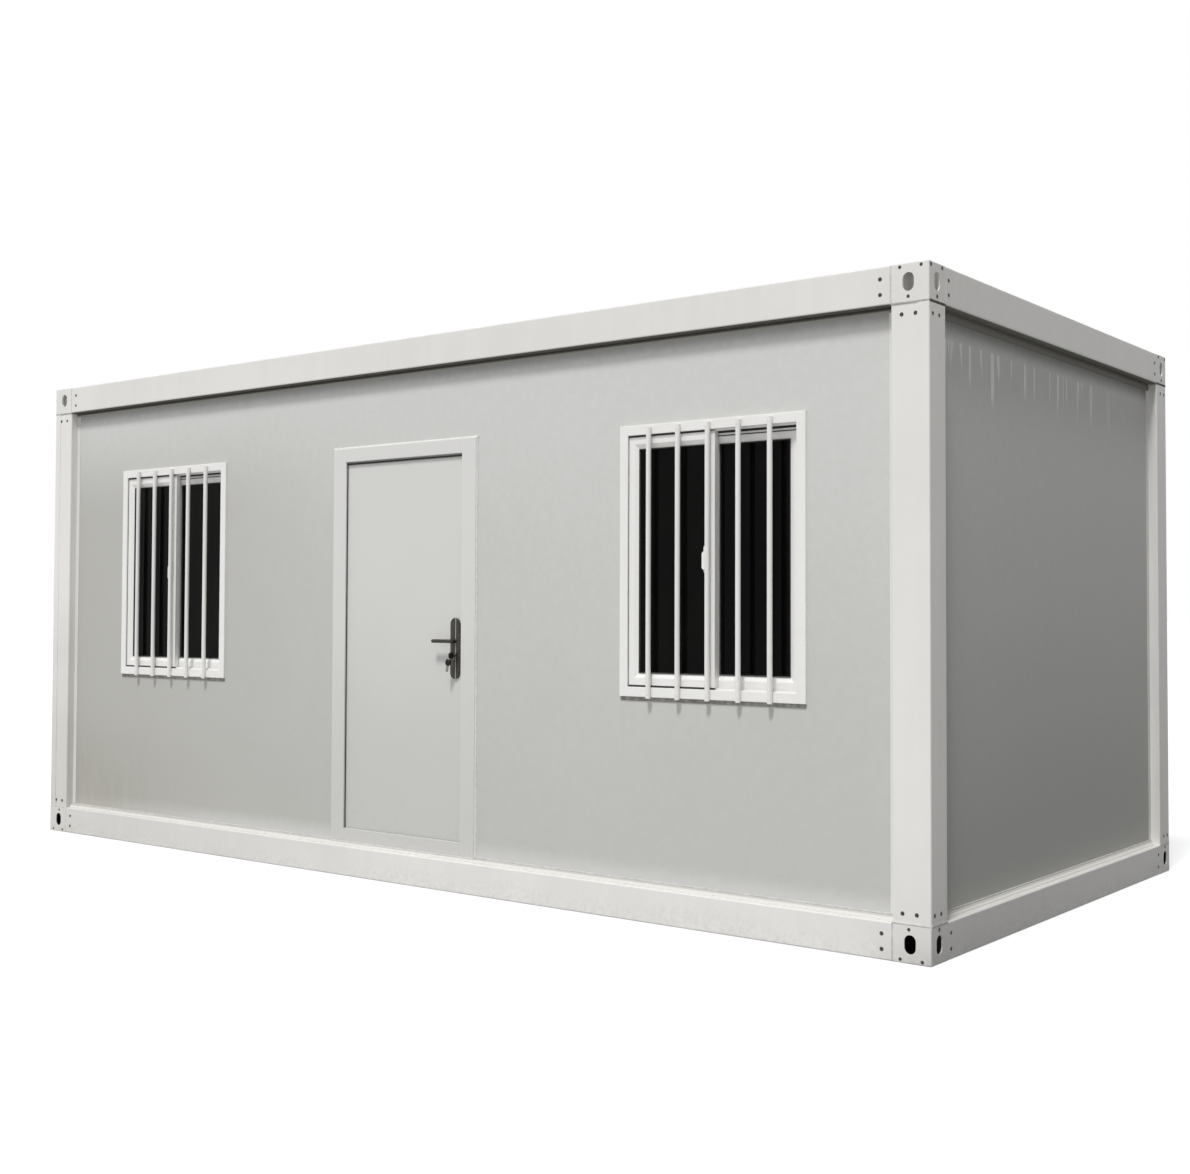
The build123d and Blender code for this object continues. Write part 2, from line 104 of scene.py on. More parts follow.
class Finish:
    """The nodes of the world or of a new material, and the patterns that its maths is made from."""

    def __init__(self, owner, **shine):
        if isinstance(owner, str):
            owner = bpy.data.materials.new(owner)
        owner.use_nodes = True
        self.owner = owner
        self.tree = owner.node_tree
        self.shader = self.tree.nodes.get("Principled BSDF")
        for name, value in shine.items():
            self.shader.inputs[name.replace("_", " ")].default_value = value

    def add(self, kind, settings=None, sockets=None, output=0):
        """Adds a node: its settings, then the values or wires of its sockets. Gives one output."""
        node = self.tree.nodes.new(kind)
        for name, value in (settings or {}).items():
            setattr(node, name, value)
        for key, value in (sockets or {}).items():
            self.feed(node.inputs[key], value)
        return Wire(self, node.outputs[output])

    def feed(self, socket, value):
        if isinstance(value, Wire):
            self.tree.links.new(value.socket, socket)
        else:
            socket.default_value = value

    def show(self, **wires):
        """Feeds the shader's own sockets."""
        for name, wire in wires.items():
            self.feed(self.shader.inputs[name.replace("_", " ")], wire)

    def cover(self, share, colour):
        """Lays a colour over the one that shows."""
        below = Wire(self, self.shader.inputs["Base Color"].links[0].from_socket)
        self.show(Base_Color=self.mix(share, below, colour))

    def place(self, stretch=(1, 1, 1)):
        """The piece's own coordinates in metres, stretched for a pattern."""
        points = self.add("ShaderNodeTexCoord", output="Object")
        return self.add("ShaderNodeVectorMath", {"operation": "MULTIPLY"}, {0: points, 1: stretch})

    def along(self, axis):
        return self.add("ShaderNodeSeparateXYZ", None, {0: self.place()}, output=axis)

    def upward(self):
        """1 on level ledges, 0 on upright and hanging faces."""
        normal = self.add("ShaderNodeNewGeometry", output="Normal")
        rise = self.add("ShaderNodeSeparateXYZ", None, {0: normal}, output="Z")
        return self.ramp(rise, *ledge_rise)

    def cloud(self, to_the_metre, detail=2.0, stretch=(1, 1, 1)):
        """Cloudy values about a half."""
        sockets = {"Vector": self.place(stretch), "Scale": to_the_metre, "Detail": detail}
        return self.add("ShaderNodeTexNoise", None, sockets)

    def ramp(self, value, start, end):
        """0 at start and 1 at end, smooth between and flat beyond."""
        sockets = {"Value": value, "From Min": start, "From Max": end}
        return self.add("ShaderNodeMapRange", {"interpolation_type": "SMOOTHSTEP"}, sockets)

    def mix(self, factor, first, second):
        """A colour between two."""
        colours = [tone if isinstance(tone, Wire) else (*tone, 1.0) for tone in (first, second)]
        sockets = {0: factor, 6: colours[0], 7: colours[1]}
        return self.add("ShaderNodeMix", {"data_type": "RGBA"}, sockets, output=2)

    def relief(self, height, depth):
        """A bump of the given depth in metres."""
        sockets = {"Height": height, "Distance": depth, "Strength": 1.0}
        return self.add("ShaderNodeBump", None, sockets)


def shade(colour, share):
    """A colour made darker or lighter by a share of itself."""
    return tuple(channel * share for channel in colour)


def sprayed_coat(
    name, colour, roughness=frame_roughness, film_share=0.0, dust_share=0.75, peel_share=1.0
):
    """Sprayed paint: cloudy, with orange peel, rain runs, dusty ledges, a dust film and grime."""
    coat = Finish(name, Specular_IOR_Level=0.3)
    cloud = coat.cloud(1.4, detail=4.0)
    runs = coat.cloud(16, stretch=(1, 1, 0.05))
    tone = coat.ramp(cloud * 0.75 + runs * 0.25, 0.34, 0.66)
    paint = coat.mix(tone, shade(colour, 0.965), shade(colour, 1.02))
    fine = coat.cloud(55, detail=5.0)
    dust = coat.upward() * (0.85 + coat.ramp(fine, 0.3, 0.7) * 0.15) * dust_share
    paint = coat.mix(dust, paint, ledge_dust)
    foot = coat.ramp(coat.along("Z") - (cloud - 0.5) * 0.3, grime_height, 0)
    stain = foot * coat.ramp(fine, 0.36, 0.7) * 0.2
    dusty_left = coat.ramp(coat.along("X") + (cloud - 0.5) * 1.5, dust_film_right, cabin_low.x)
    dusty_low = coat.ramp(coat.along("Z") + (cloud - 0.5) * 0.8, dust_film_height, 0)
    paint = coat.mix(dusty_left * dusty_low * film_share, paint, film_grey)
    coat.show(
        Base_Color=coat.mix(stain, paint, frame_grime),
        Roughness=roughness + stain * 0.4 + (cloud - 0.5) * 0.12,
        Normal=coat.relief(coat.cloud(peel_to_the_metre), peel_share * peel_depth),
    )
    return coat


def dress(finish, *names):
    """Gives CAD pieces their finish."""
    for name in names:
        nodes[name].data.materials[0] = finish.owner


def named(*starts):
    """The names of the CAD pieces that start with one of these words."""
    return [name for name in nodes if name.startswith(starts)]


frame_coat = sprayed_coat("frame_coat", frame_white, film_share=beam_film_share)
dress(frame_coat, *named("bottom_beam", "top_beam"))
post_coat = sprayed_coat("post_coat", post_white, film_share=post_film_share)
dress(post_coat, *named("corner_post"))

# The corner boxes: welded from 8 mm plate, with upright slots, and coated with the frame.
# Inside, the lower ones are painted near-black as painted shade, the upper ones near-white as painted
# light.
box_plate = 0.008
box_inside_shade = (0.02, 0.019, 0.017)
box_inside_light = (0.93, 0.92, 0.89)


def box_coat(name, inside_light_and_shade):
    """The frame's coat outside, and another colour on what shows through the slots."""
    coat = sprayed_coat(name, frame_white, film_share=beam_film_share)
    from_end = cabin_high.x - coat.along("X").size()
    from_side = cabin_high.y - coat.along("Y").size()
    # What shows through the slots is painted: shade in the lower boxes, light in the upper ones.
    inside = coat.ramp(from_end.least(from_side), 0.3 * box_plate, 0.6 * box_plate)
    coat.cover(inside, inside_light_and_shade)
    return coat


for kind, inside_light_and_shade in (("bottom_corner", box_inside_shade), ("top_corner", box_inside_light)):
    dress(box_coat(f"{kind}_coat", inside_light_and_shade), *named(kind))

# The joints where beams and posts meet the corner boxes: the boxes' round edges leave a groove there.
# Sealant fills it and is smeared flat, pale grey on the long sides. Its colour also holds painted
# light:
# darker under the top boxes and black at the ends' heads as painted shadow, and white at the ends'
# feet as a painted highlight.
joint_width = 0.008
end_joint_width = 0.012
joint_proud = 0.0006
joint_sunk = 0.003
joint_end = 0.004
corner_length = 0.17
corner_depth = 0.15
foot_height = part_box("bottom_corner_front_right")[1].z
head_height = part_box("top_corner_front_right")[0].z
joint_tones_and_light = {
    "pale": ((0.68, 0.67, 0.645), (0.56, 0.55, 0.52)),
    "grey": ((0.48, 0.47, 0.44), (0.34, 0.33, 0.30)),
    "white": ((0.88, 0.875, 0.85), (0.72, 0.71, 0.68)),
    "black": ((0.11, 0.108, 0.095), (0.06, 0.058, 0.05)),
}
crease_angle = math.radians(32)


def skin(mesh, rings, closed=False):
    """Joins rings of points by faces, into a loop or with a face over each end."""
    rings = [[mesh.verts.new(point) for point in ring] for ring in rings]
    others = rings[1:] + rings[:1] if closed else rings[1:]
    for ring, other in zip(rings, others):
        for step in range(len(ring)):
            mesh.faces.new((ring[step - 1], ring[step], other[step], other[step - 1]))
    if not closed:
        mesh.faces.new(rings[0])
        mesh.faces.new(rings[-1])


def bead(mesh, start, end, out, width, rise, sunk=0.0, steps=6):
    """A bead of half-round section from one point to another, standing off a face by its rise."""
    start, end, out = Vector(start), Vector(end), Vector(out)
    across = (end - start).cross(out).normalized()
    section = [(-width / 2, -sunk)]
    for step in range(steps + 1):
        angle = math.pi * step / steps
        section.append((-width / 2 * math.cos(angle), rise * math.sin(angle)))
    section.append((width / 2, -sunk))
    if not sunk:
        section = section[1:-1]
    skin(mesh, [[point + across * a + out * b for a, b in section] for point in (start, end)])


def add_piece(name, mesh, finish, body="root"):
    """Makes a piece from a built mesh, smooth over its gentle bends, and lets it ride on a body."""
    bmesh.ops.recalc_face_normals(mesh, faces=mesh.faces[:])
    for face in mesh.faces:
        face.smooth = True
    for edge in mesh.edges:
        edge.smooth = edge.is_manifold and edge.calc_face_angle() < crease_angle
    data = bpy.data.meshes.new(name)
    mesh.to_mesh(data)
    mesh.free()
    data.materials.append(finish.owner)
    piece = bpy.data.objects.new(name, data)
    bpy.context.scene.collection.objects.link(piece)
    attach(piece, body)


def grey_sealant(name, pale, dark):
    """Grey sealant with dirt in it."""
    sealant = Finish(name, Specular_IOR_Level=0.2)
    dirt = sealant.ramp(sealant.cloud(42, detail=5.0), 0.36, 0.66)
    sealant.show(
        Base_Color=sealant.mix(dirt, pale, dark),
        Roughness=0.6 + dirt * 0.25,
        Normal=sealant.relief(sealant.cloud(500), 0.0001),
    )
    return sealant


corner_signs = [(sign_x, sign_y) for sign_x in (-1, 1) for sign_y in (-1, 1)]
joints = {tone: bmesh.new() for tone in joint_tones_and_light}
for sign_x, sign_y in corner_signs:
    end_x = sign_x * cabin_high.x
    side_y = sign_y * cabin_high.y
    inner_x = end_x - sign_x * corner_length
    inner_y = side_y - sign_y * corner_depth
    for level, seam, up in ((cabin_low.z, foot_height, 1), (cabin_high.z, head_height, -1)):
        out_y = Vector((0, sign_y, 0))
        out_x = Vector((sign_x, 0, 0))
        first_x = end_x - sign_x * joint_end
        first_y = side_y - sign_y * joint_end
        first_z = level + up * joint_end
        # Painted shadow under the top boxes and at the ends' heads, a painted highlight at the ends'
        # feet.
        side_joint_shade = "pale" if up > 0 else "grey"
        end_joint_light = "white" if up > 0 else "black"
        lines = (
            (side_joint_shade, (first_x, side_y, seam), (inner_x, side_y, seam), out_y, joint_width),
            ("pale", (inner_x, side_y, first_z), (inner_x, side_y, seam), out_y, joint_width),
            (end_joint_light, (end_x, first_y, seam), (end_x, inner_y, seam), out_x, end_joint_width),
        )
        for tone, start, end, out, width in lines:
            bead(joints[tone], start, end, out, width, joint_proud, joint_sunk)
for tone, (pale, dark) in joint_tones_and_light.items():
    joint_name = f"joint_sealant_{tone}"
    add_piece(joint_name, joints[tone], grey_sealant(joint_name, pale, dark))

# The bolts that join beams, posts and corner boxes, and the ones that close the boxes.
# Low dome heads of dark plated steel with a hexagon socket, pulled down on to the paint.
bolt_radius = 0.0088
box_bolt_radius = 0.0072
bolt_proud = 0.0012
bolt_sunk = 0.001
socket_radius = 0.0034
post_lap_step = 0.002
bolt_dark = (0.045, 0.043, 0.037)
bolt_rust = (0.075, 0.06, 0.045)

# Distance from the upright edge of the cabin, then height above the ground or below the top.
side_foot_bolts = [(0.217, 0.043), (0.217, 0.105)]
side_foot_box_bolts = [(0.097, 0.135), (0.039, 0.014), (0.135, 0.014)]
side_foot_post_bolts = [(0.063, 0.195), (0.125, 0.195)]
side_head_bolts = [(0.217, 0.052), (0.217, 0.116)]
side_head_box_bolts = [(0.092, 0.136), (0.035, 0.014), (0.129, 0.014)]
side_head_post_bolts = [(0.061, 0.206), (0.122, 0.206)]
end_foot_bolts = [(0.072, 0.137), (0.18, 0.043), (0.18, 0.107)]
end_foot_bolts += [(0.032, 0.196), (0.09, 0.196)]
end_head_bolts = [(0.072, 0.137), (0.016, 0.014), (0.119, 0.014), (0.18, 0.054), (0.18, 0.114)]
end_head_bolts += [(0.032, 0.21), (0.09, 0.21)]
foot_bolts = (side_foot_bolts, side_foot_box_bolts, side_foot_post_bolts, end_foot_bolts)
head_bolts = (side_head_bolts, side_head_box_bolts, side_head_post_bolts, end_head_bolts)


def facing(point, direction):
    """A place at a point of an upright face: Z runs out of the face and Y runs up it."""
    out = Vector(direction)
    up = Vector((0, 0, 1))
    turn = Matrix((up.cross(out), up, out)).transposed().to_4x4()
    return Matrix.Translation(point) @ turn


def turned(mesh, profile, place, sides=18):
    """Spins points of radius and height about a place's Z. A third number gives a ring corners."""
    rings = []
    for radius, height, *corners in profile:
        ring = []
        for step in range(sides):
            angle = 2 * math.pi * step / sides
            reach = radius
            if corners:
                wedge = math.pi / corners[0]
                reach = radius * math.cos(wedge) / math.cos(angle % (2 * wedge) - wedge)
            ring.append(place @ Vector((reach * math.cos(angle), reach * math.sin(angle), height)))
        rings.append(ring)
    skin(mesh, rings)


def dome_bolt(mesh, place, radius, proud, sunk, socket):
    """A low dome head with a hexagon socket."""
    profile = [
        (radius, -sunk),
        (radius, 0.3 * proud),
        (0.9 * radius, 0.65 * proud),
        (0.68 * radius, 0.93 * proud),
        (0.5 * radius, proud),
        (socket, proud, 6),
        (socket, 0.15 * proud, 6),
    ]
    turned(mesh, profile, place)


def plated_steel(name, colour, stain, metallic, roughness):
    """Plated steel with patches where the plating has dulled."""
    steel = Finish(name, Metallic=metallic)
    patch = steel.ramp(steel.cloud(140, detail=4.0), 0.42, 0.68)
    grain = steel.cloud(900)
    steel.show(
        Base_Color=steel.mix(patch, colour, stain),
        Roughness=roughness + patch * 0.2 + (grain - 0.5) * 0.1,
        Normal=steel.relief(grain, 0.00004),
    )
    return steel


bolt_steel = plated_steel("bolt_steel", bolt_dark, bolt_rust, 0.1, 0.55)
bolts = bmesh.new()
for sign_x, sign_y in corner_signs:
    side_y = sign_y * cabin_high.y
    end_x = sign_x * cabin_high.x
    post_y = side_y - sign_y * post_lap_step
    out_y = (0, sign_y, 0)
    out_x = (sign_x, 0, 0)
    for level, up, groups in ((cabin_low.z, 1, foot_bolts), (cabin_high.z, -1, head_bolts)):
        on_side, on_box, on_post, on_end = groups
        # Of the top boxes, the ones at the right end are closed with bolts.
        if up < 0 and sign_x < 0:
            on_box = []
        spots = [(end_x - sign_x * s, side_y, z, out_y, bolt_radius) for s, z in on_side]
        spots += [(end_x - sign_x * s, side_y, z, out_y, box_bolt_radius) for s, z in on_box]
        spots += [(end_x - sign_x * s, post_y, z, out_y, bolt_radius) for s, z in on_post]
        spots += [(end_x, side_y - sign_y * s, z, out_x, bolt_radius) for s, z in on_end]
        for x, y, z, out, radius in spots:
            place = facing((x, y, level + up * z), out)
            dome_bolt(bolts, place, radius, bolt_proud, bolt_sunk, socket_radius)
add_piece("frame_bolts", bolts, bolt_steel, "root")

# The floor: galvanised channel joists between the beams, with cement-bonded boards laid over them.
# The boards butt on the joists and show a fine dark joint every 1.2 m.
joist_zinc = (0.44, 0.45, 0.46)
joist_bloom = (0.56, 0.57, 0.57)
board_grey = (0.40, 0.37, 0.33)
board_light = (0.46, 0.43, 0.39)
board_joint = (0.12, 0.11, 0.10)
board_width = 1.2
board_joint_width = 0.003
crystals_to_the_metre = 45.0

# Hot-dip zinc has flat crystals of differing grey, each with its own gloss.
zinc = Finish("joist_zinc", Metallic=0.75)
sockets = {"Vector": zinc.place(), "Scale": crystals_to_the_metre}
crystal = zinc.add("ShaderNodeTexVoronoi", None, sockets, output="Color")
crystal = zinc.add("ShaderNodeSeparateXYZ", None, {0: crystal}, output=0)
bloom = zinc.ramp(zinc.cloud(2.5, detail=4.0), 0.3, 0.75)
zinc.show(
    Base_Color=zinc.mix(crystal * 0.6 + bloom * 0.4, joist_zinc, joist_bloom),
    Roughness=0.42 + crystal * 0.14 + bloom * 0.1,
    Normal=zinc.relief(crystal, 0.00006),
)
dress(zinc, "floor_joists", "roof_purlins")

boards = Finish("floor_boards", Specular_IOR_Level=0.25)
fibre = boards.cloud(95, detail=6.0)
board_tone = boards.ramp(boards.cloud(3.0, detail=4.0) * 0.5 + fibre * 0.5, 0.35, 0.65)
half_boards = {0: boards.along("X"), 1: board_width / 2}
board_step = boards.add("ShaderNodeMath", {"operation": "PINGPONG"}, half_boards)
joint = boards.ramp(board_step, board_joint_width, 0)
boards.show(
    Base_Color=boards.mix(joint, boards.mix(board_tone, board_grey, board_light), board_joint),
    Roughness=0.62 + fibre * 0.2,
    Normal=boards.relief(fibre * 0.3 - joint, 0.0008),
)
dress(boards, "floor_deck")

# The roof: a ribbed steel sheet on the purlins, coated pale grey, with rain dust in its valleys.
# Under it a plain white lining closes the room.
roof_grey = (0.60, 0.61, 0.61)
roof_dust = (0.41, 0.39, 0.35)
lining_white = (0.72, 0.72, 0.70)
lining_shade = (0.66, 0.66, 0.64)

roof = Finish("roof_coat", Specular_IOR_Level=0.35)
washed = roof.cloud(1.1, detail=5.0, stretch=(1, 0.35, 1))
roof_low, roof_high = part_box("roof_sheet")
valley = roof.ramp(roof.along("Z"), roof_high.z, roof_low.z)
specks = roof.ramp(roof.cloud(24, detail=4.0), 0.5, 0.75)
dust = valley * roof.ramp(washed, 0.38, 0.68) * 0.7 + specks * 0.15
roof.show(
    Base_Color=roof.mix(dust, roof_grey, roof_dust),
    Roughness=0.4 + dust * 0.4,
    Normal=roof.relief(roof.cloud(peel_to_the_metre), peel_depth),
)
dress(roof, "roof_sheet")

lining = Finish("ceiling_lining", Specular_IOR_Level=0.3)
lining_cloud = lining.cloud(2.2, detail=3.0)
lining.show(
    Base_Color=lining.mix(lining.ramp(lining_cloud, 0.35, 0.65), lining_shade, lining_white),
    Roughness=0.5 + (lining_cloud - 0.5) * 0.15,
    Normal=lining.relief(lining.cloud(260), 0.0001),
)
dress(lining, "ceiling")

# The walls: 50 mm panels, steel skins on a foam core, slid into folded tracks along all four edges.
# The skins have a matt pale grey coat. Under the beams they are darkened with painted shade and some
# dirt, rain has run from the head of the right end, and soil lies low on the left.
wall_grey = (0.679, 0.679, 0.664)
wall_low_tone = (0.545, 0.545, 0.522)
wall_film = (0.47, 0.465, 0.435)
wall_soil = (0.40, 0.385, 0.335)
wall_foot_pale = (0.68, 0.68, 0.67)
wall_head_shade_and_grime = (0.13, 0.128, 0.115)
run_light = (0.90, 0.90, 0.86)
run_head = 0.12
run_length = 0.14
run_fade = 0.06
run_tip = 0.015
run_stretch = (1, 1, 0.004)
run_cut = (0.60, 0.645)
wave_depth = 0.0004
track_white = (0.77, 0.76, 0.73)
track_roughness = 0.45
wall_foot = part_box("right_wall")[0].z
wall_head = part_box("right_wall")[1].z

# Where marks begin and where they are full: spans run along a wall, rises up it and drops down it.
runs_span = (1.1, 0.2)
film_span = (1.6, -2.9)
film_drop = 0.7
soil_span = (-1.2, -2.7)
soil_rise = 0.75
patch_span = (-1.9, -2.45)
patch_rises = (wall_foot + 0.6, wall_foot + 0.25)
splash_rise = 0.16
foot_pale_rises = (wall_foot + 0.12, wall_foot + 0.03)


def wall_coat(
    name, tone=1.0, runs_share=0.0, film_share=0.0, soil_share=0.0, foot_pale_share=0.0,
    head_shade_share=0.0, head_shade_reach=0.07,
):
    """Matt coil coat: paler above, painted shade and dirt under the beam, rain runs, dust film and
    soil.
    """
    coat = Finish(name, Specular_IOR_Level=0.2)
    height = coat.along("Z")
    length = coat.along("X")
    cloud = coat.cloud(0.9, detail=4.0)
    fine = coat.cloud(30, detail=3.0)
    fall = coat.ramp(height + (cloud - 0.5) * 0.9, wall_head, wall_foot - 0.2)
    paint = coat.mix(fall, shade(wall_grey, tone), shade(wall_low_tone, tone))
    paint = coat.mix(coat.ramp(fine, 0.35, 0.65) * 0.06, paint, wall_soil)

    cloudy_layer = coat.ramp(length + (cloud - 0.5) * 1.4, *film_span)
    cloudy_layer = cloudy_layer * coat.ramp(height, wall_head, wall_head - film_drop)
    paint = coat.mix(cloudy_layer * film_share, paint, wall_film)

    run = coat.cloud(36, detail=1.0, stretch=run_stretch)
    run_end = coat.cloud(27, detail=0.0, stretch=run_stretch)
    run_top = wall_head - run_head
    tail = coat.ramp(height + (run_end - 0.5) * 0.4, run_top - run_length, run_top - run_fade)
    tip = coat.ramp(height, run_top + run_tip, run_top)
    near_front = coat.ramp(coat.along("Y"), *runs_span)
    wet = coat.ramp(run, *run_cut) * tail * tip * near_front * runs_share
    paint = coat.mix(wet, paint, run_light)

    # Painted shade with some dirt: the wall darkens towards the beam above it.
    head_shade_span = (wall_head - head_shade_reach, wall_head - 0.3 * head_shade_reach)
    head_shade_mask = coat.ramp(height + (fine - 0.5) * 0.012, *head_shade_span)
    paint = coat.mix(head_shade_mask * head_shade_share, paint, wall_head_shade_and_grime)

    low = coat.ramp(height + (cloud - 0.5) * 0.8, wall_foot + soil_rise, wall_foot)
    near_end = coat.ramp(length + (cloud - 0.5) * 1.2, *soil_span)
    splash = coat.ramp(height + (fine - 0.5) * 0.1, wall_foot + splash_rise, wall_foot)
    patch = coat.ramp(length + (cloud - 0.5) * 0.6 + (fine - 0.5) * 0.2, *patch_span)
    patch = patch * coat.ramp(height + (cloud - 0.5) * 0.4, *patch_rises)
    streaky = 0.7 + coat.ramp(coat.cloud(26, detail=4.0, stretch=(1, 1, 0.2)), 0.3, 0.7) * 0.3
    soil = (low * near_end * 0.5 + patch * 0.2 + splash * 0.15) * streaky * soil_share
    # Just above the foot the wall is paler.
    washed = coat.ramp(height + (fine - 0.5) * 0.03, *foot_pale_rises)
    washed = washed * (1 - near_end * 0.7) * foot_pale_share
    wave = coat.cloud(1.7, detail=1.0) * 6 + coat.cloud(peel_to_the_metre) * 0.05
    coat.show(
        Base_Color=coat.mix(washed, coat.mix(soil, paint, wall_soil), wall_foot_pale),
        Roughness=0.55 + soil * 0.25 + (cloud - 0.5) * 0.1,
        Normal=coat.relief(wave, wave_depth),
    )
    return coat


front_shares = {"film_share": 0.8, "soil_share": 1.0, "foot_pale_share": 0.6, "head_shade_share": 0.5}
front_coat = wall_coat("front_wall_coat", head_shade_reach=0.085, **front_shares)
dress(front_coat, "front_wall_left", "front_wall_over_door", "front_wall_right")
end_shares = {"runs_share": 0.8, "soil_share": 0.2, "head_shade_share": 0.85}
# The right end's coat is a tenth darker: painted shade for that end, which lies in shade.
end_coat = wall_coat("end_wall_coat", tone=0.90, head_shade_reach=0.115, **end_shares)
dress(end_coat, "right_wall")
plain_coat = wall_coat("plain_wall_coat", film_share=0.3, soil_share=0.6, head_shade_share=0.5)
dress(plain_coat, "rear_wall", "left_wall")

# The tracks' drip strips are bright along the lip. Where they rise to the wall they are darkened,
# painted shade in that crease with some dust.
strip_height = 0.02
strip_crease_shade = (0.47, 0.46, 0.43)
strip_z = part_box("wall_tracks")[0].z + strip_height
strip_shade_below = (strip_z - 0.011, strip_z - 0.006)
strip_shade_above = (strip_z + 0.010, strip_z + 0.002)
track_coat = sprayed_coat("track_coat", track_white, track_roughness, dust_share=0.9, peel_share=0.25)
track_rise = track_coat.along("Z")
# Painted shade with some dust in the crease where the strip meets the wall.
crease_shade = track_coat.ramp(track_rise, *strip_shade_below)
crease_shade = crease_shade * track_coat.ramp(track_rise, *strip_shade_above)
track_coat.cover(crease_shade, strip_crease_shade)
dress(track_coat, "wall_tracks")

# The bead along the drip strips: pale sealant run by gun where each strip's top meets its wall.
# It closes the foot of the wall from post to post, up to the door's casing.
strip_bead_white = (0.56, 0.552, 0.525)
strip_bead_dull = (0.48, 0.47, 0.445)
strip_bead_width = 0.010
strip_bead_rise = 0.0045
wall_recess = 0.05
side_reach = cabin_high.x - corner_length
end_reach = cabin_high.y - corner_depth
casing_low, casing_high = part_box("door_frame")
front_y = cabin_low.y + wall_recess
strip_bead = bmesh.new()
runs = [
    ((-side_reach, front_y, strip_z), (casing_low.x, front_y, strip_z), (0, -1, 0)),
    ((casing_high.x, front_y, strip_z), (side_reach, front_y, strip_z), (0, -1, 0)),
    ((-side_reach, -front_y, strip_z), (side_reach, -front_y, strip_z), (0, 1, 0)),
]
for sign in (-1, 1):
    face_x = sign * (cabin_high.x - wall_recess)
    runs.append(((face_x, -end_reach, strip_z), (face_x, end_reach, strip_z), (sign, 0, 0)))
for start, end, out in runs:
    bead(strip_bead, start, end, out, strip_bead_width, strip_bead_rise)
strip_sealant = grey_sealant("strip_bead", strip_bead_white, strip_bead_dull)
add_piece("strip_bead", strip_bead, strip_sealant, "root")

# The strips under the top beams: black foam tape on each beam's lower flange and on the wall's head,
# dark enough to stand in for the shade there. It packs the gap between them from post to post, and
# on the ends it is paler, so the painted shade there is less deep.
flange_foam_width = 0.046
flange_foam_rise = 0.004
side_foam_height = 0.025
end_foam_height = 0.04
foam_rise = 0.007
foam_sunk = 0.0015
shade_foam_black = (0.10, 0.098, 0.086)
shade_foam_dust = (0.16, 0.157, 0.14)
end_shade_foam_grey = (0.19, 0.186, 0.165)
end_shade_foam_dust = (0.28, 0.274, 0.248)
shade_foam_pale = (0.36, 0.35, 0.32)
shade_foam_pale_drop = (0.010, 0.020)


def rubber_seal(name, black, dust):
    """Black rubber or foam, dulled by dust."""
    rubber = Finish(name, Specular_IOR_Level=0.2)
    bloom = rubber.ramp(rubber.cloud(70, detail=4.0), 0.42, 0.7)
    rubber.show(
        Base_Color=rubber.mix(bloom * 0.5, black, dust),
        Roughness=0.65 + bloom * 0.25,
        Normal=rubber.relief(rubber.cloud(800), 0.00005),
    )
    return rubber


end_shade_foam = bmesh.new()
side_shade_foam = bmesh.new()
for sign in (-1, 1):
    wall_x = sign * (cabin_high.x - wall_recess)
    flange_x = sign * (cabin_high.x - wall_recess / 2)
    foam_z = head_height - end_foam_height / 2
    on_wall = [(wall_x, y, foam_z) for y in (-end_reach, end_reach)]
    bead(end_shade_foam, *on_wall, (sign, 0, 0), end_foam_height, foam_rise, foam_sunk)
    on_flange = [(flange_x, y, head_height) for y in (-end_reach, end_reach)]
    bead(end_shade_foam, *on_flange, (0, 0, -1), flange_foam_width, flange_foam_rise, foam_sunk)

    wall_y = sign * (cabin_high.y - wall_recess)
    flange_y = sign * (cabin_high.y - wall_recess / 2)
    foam_z = head_height - side_foam_height / 2
    on_wall = [(x, wall_y, foam_z) for x in (-side_reach, side_reach)]
    bead(side_shade_foam, *on_wall, (0, sign, 0), side_foam_height, foam_rise, foam_sunk)
    on_flange = [(x, flange_y, head_height) for x in (-side_reach, side_reach)]
    bead(side_shade_foam, *on_flange, (0, 0, -1), flange_foam_width, flange_foam_rise, foam_sunk)
end_finish = rubber_seal("head_foam_ends", end_shade_foam_grey, end_shade_foam_dust)
add_piece("head_foam_ends", end_shade_foam, end_finish)

# Along the sides the foam's lower edge is painted paler, where the painted shade under the beam
# fades.
side_finish = rubber_seal("head_foam_sides", shade_foam_black, shade_foam_dust)
shade_fade_mask = side_finish.ramp(head_height - side_finish.along("Z"), *shade_foam_pale_drop)
side_finish.cover(shade_fade_mask, shade_foam_pale)
add_piece("head_foam_sides", side_shade_foam, side_finish)

# The door frame: folded steel casing, stop and lining, sprayed a shade greyer than the cabin's frame.
# A black rubber seal sits in the stop along both jambs and the head; its dark band also stands in for
# the shade in the reveal, and at the head it shows lower, for the head's shadow. White sealant edges
# the casing on all four sides.
door_grey = (0.735, 0.731, 0.713)
door_low_tone = (0.618, 0.615, 0.595)
door_ledge = (0.50, 0.49, 0.47)
rubber_black = (0.045, 0.045, 0.042)
rubber_dust = (0.09, 0.088, 0.082)
leaf_overlap = 0.012
seal_depth = 0.0066
seal_width = 0.009
seal_in_view = 0.003
seal_gap = 0.0002
head_seal_shade_drop = 0.012

leaf_low, leaf_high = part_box("door_leaf")


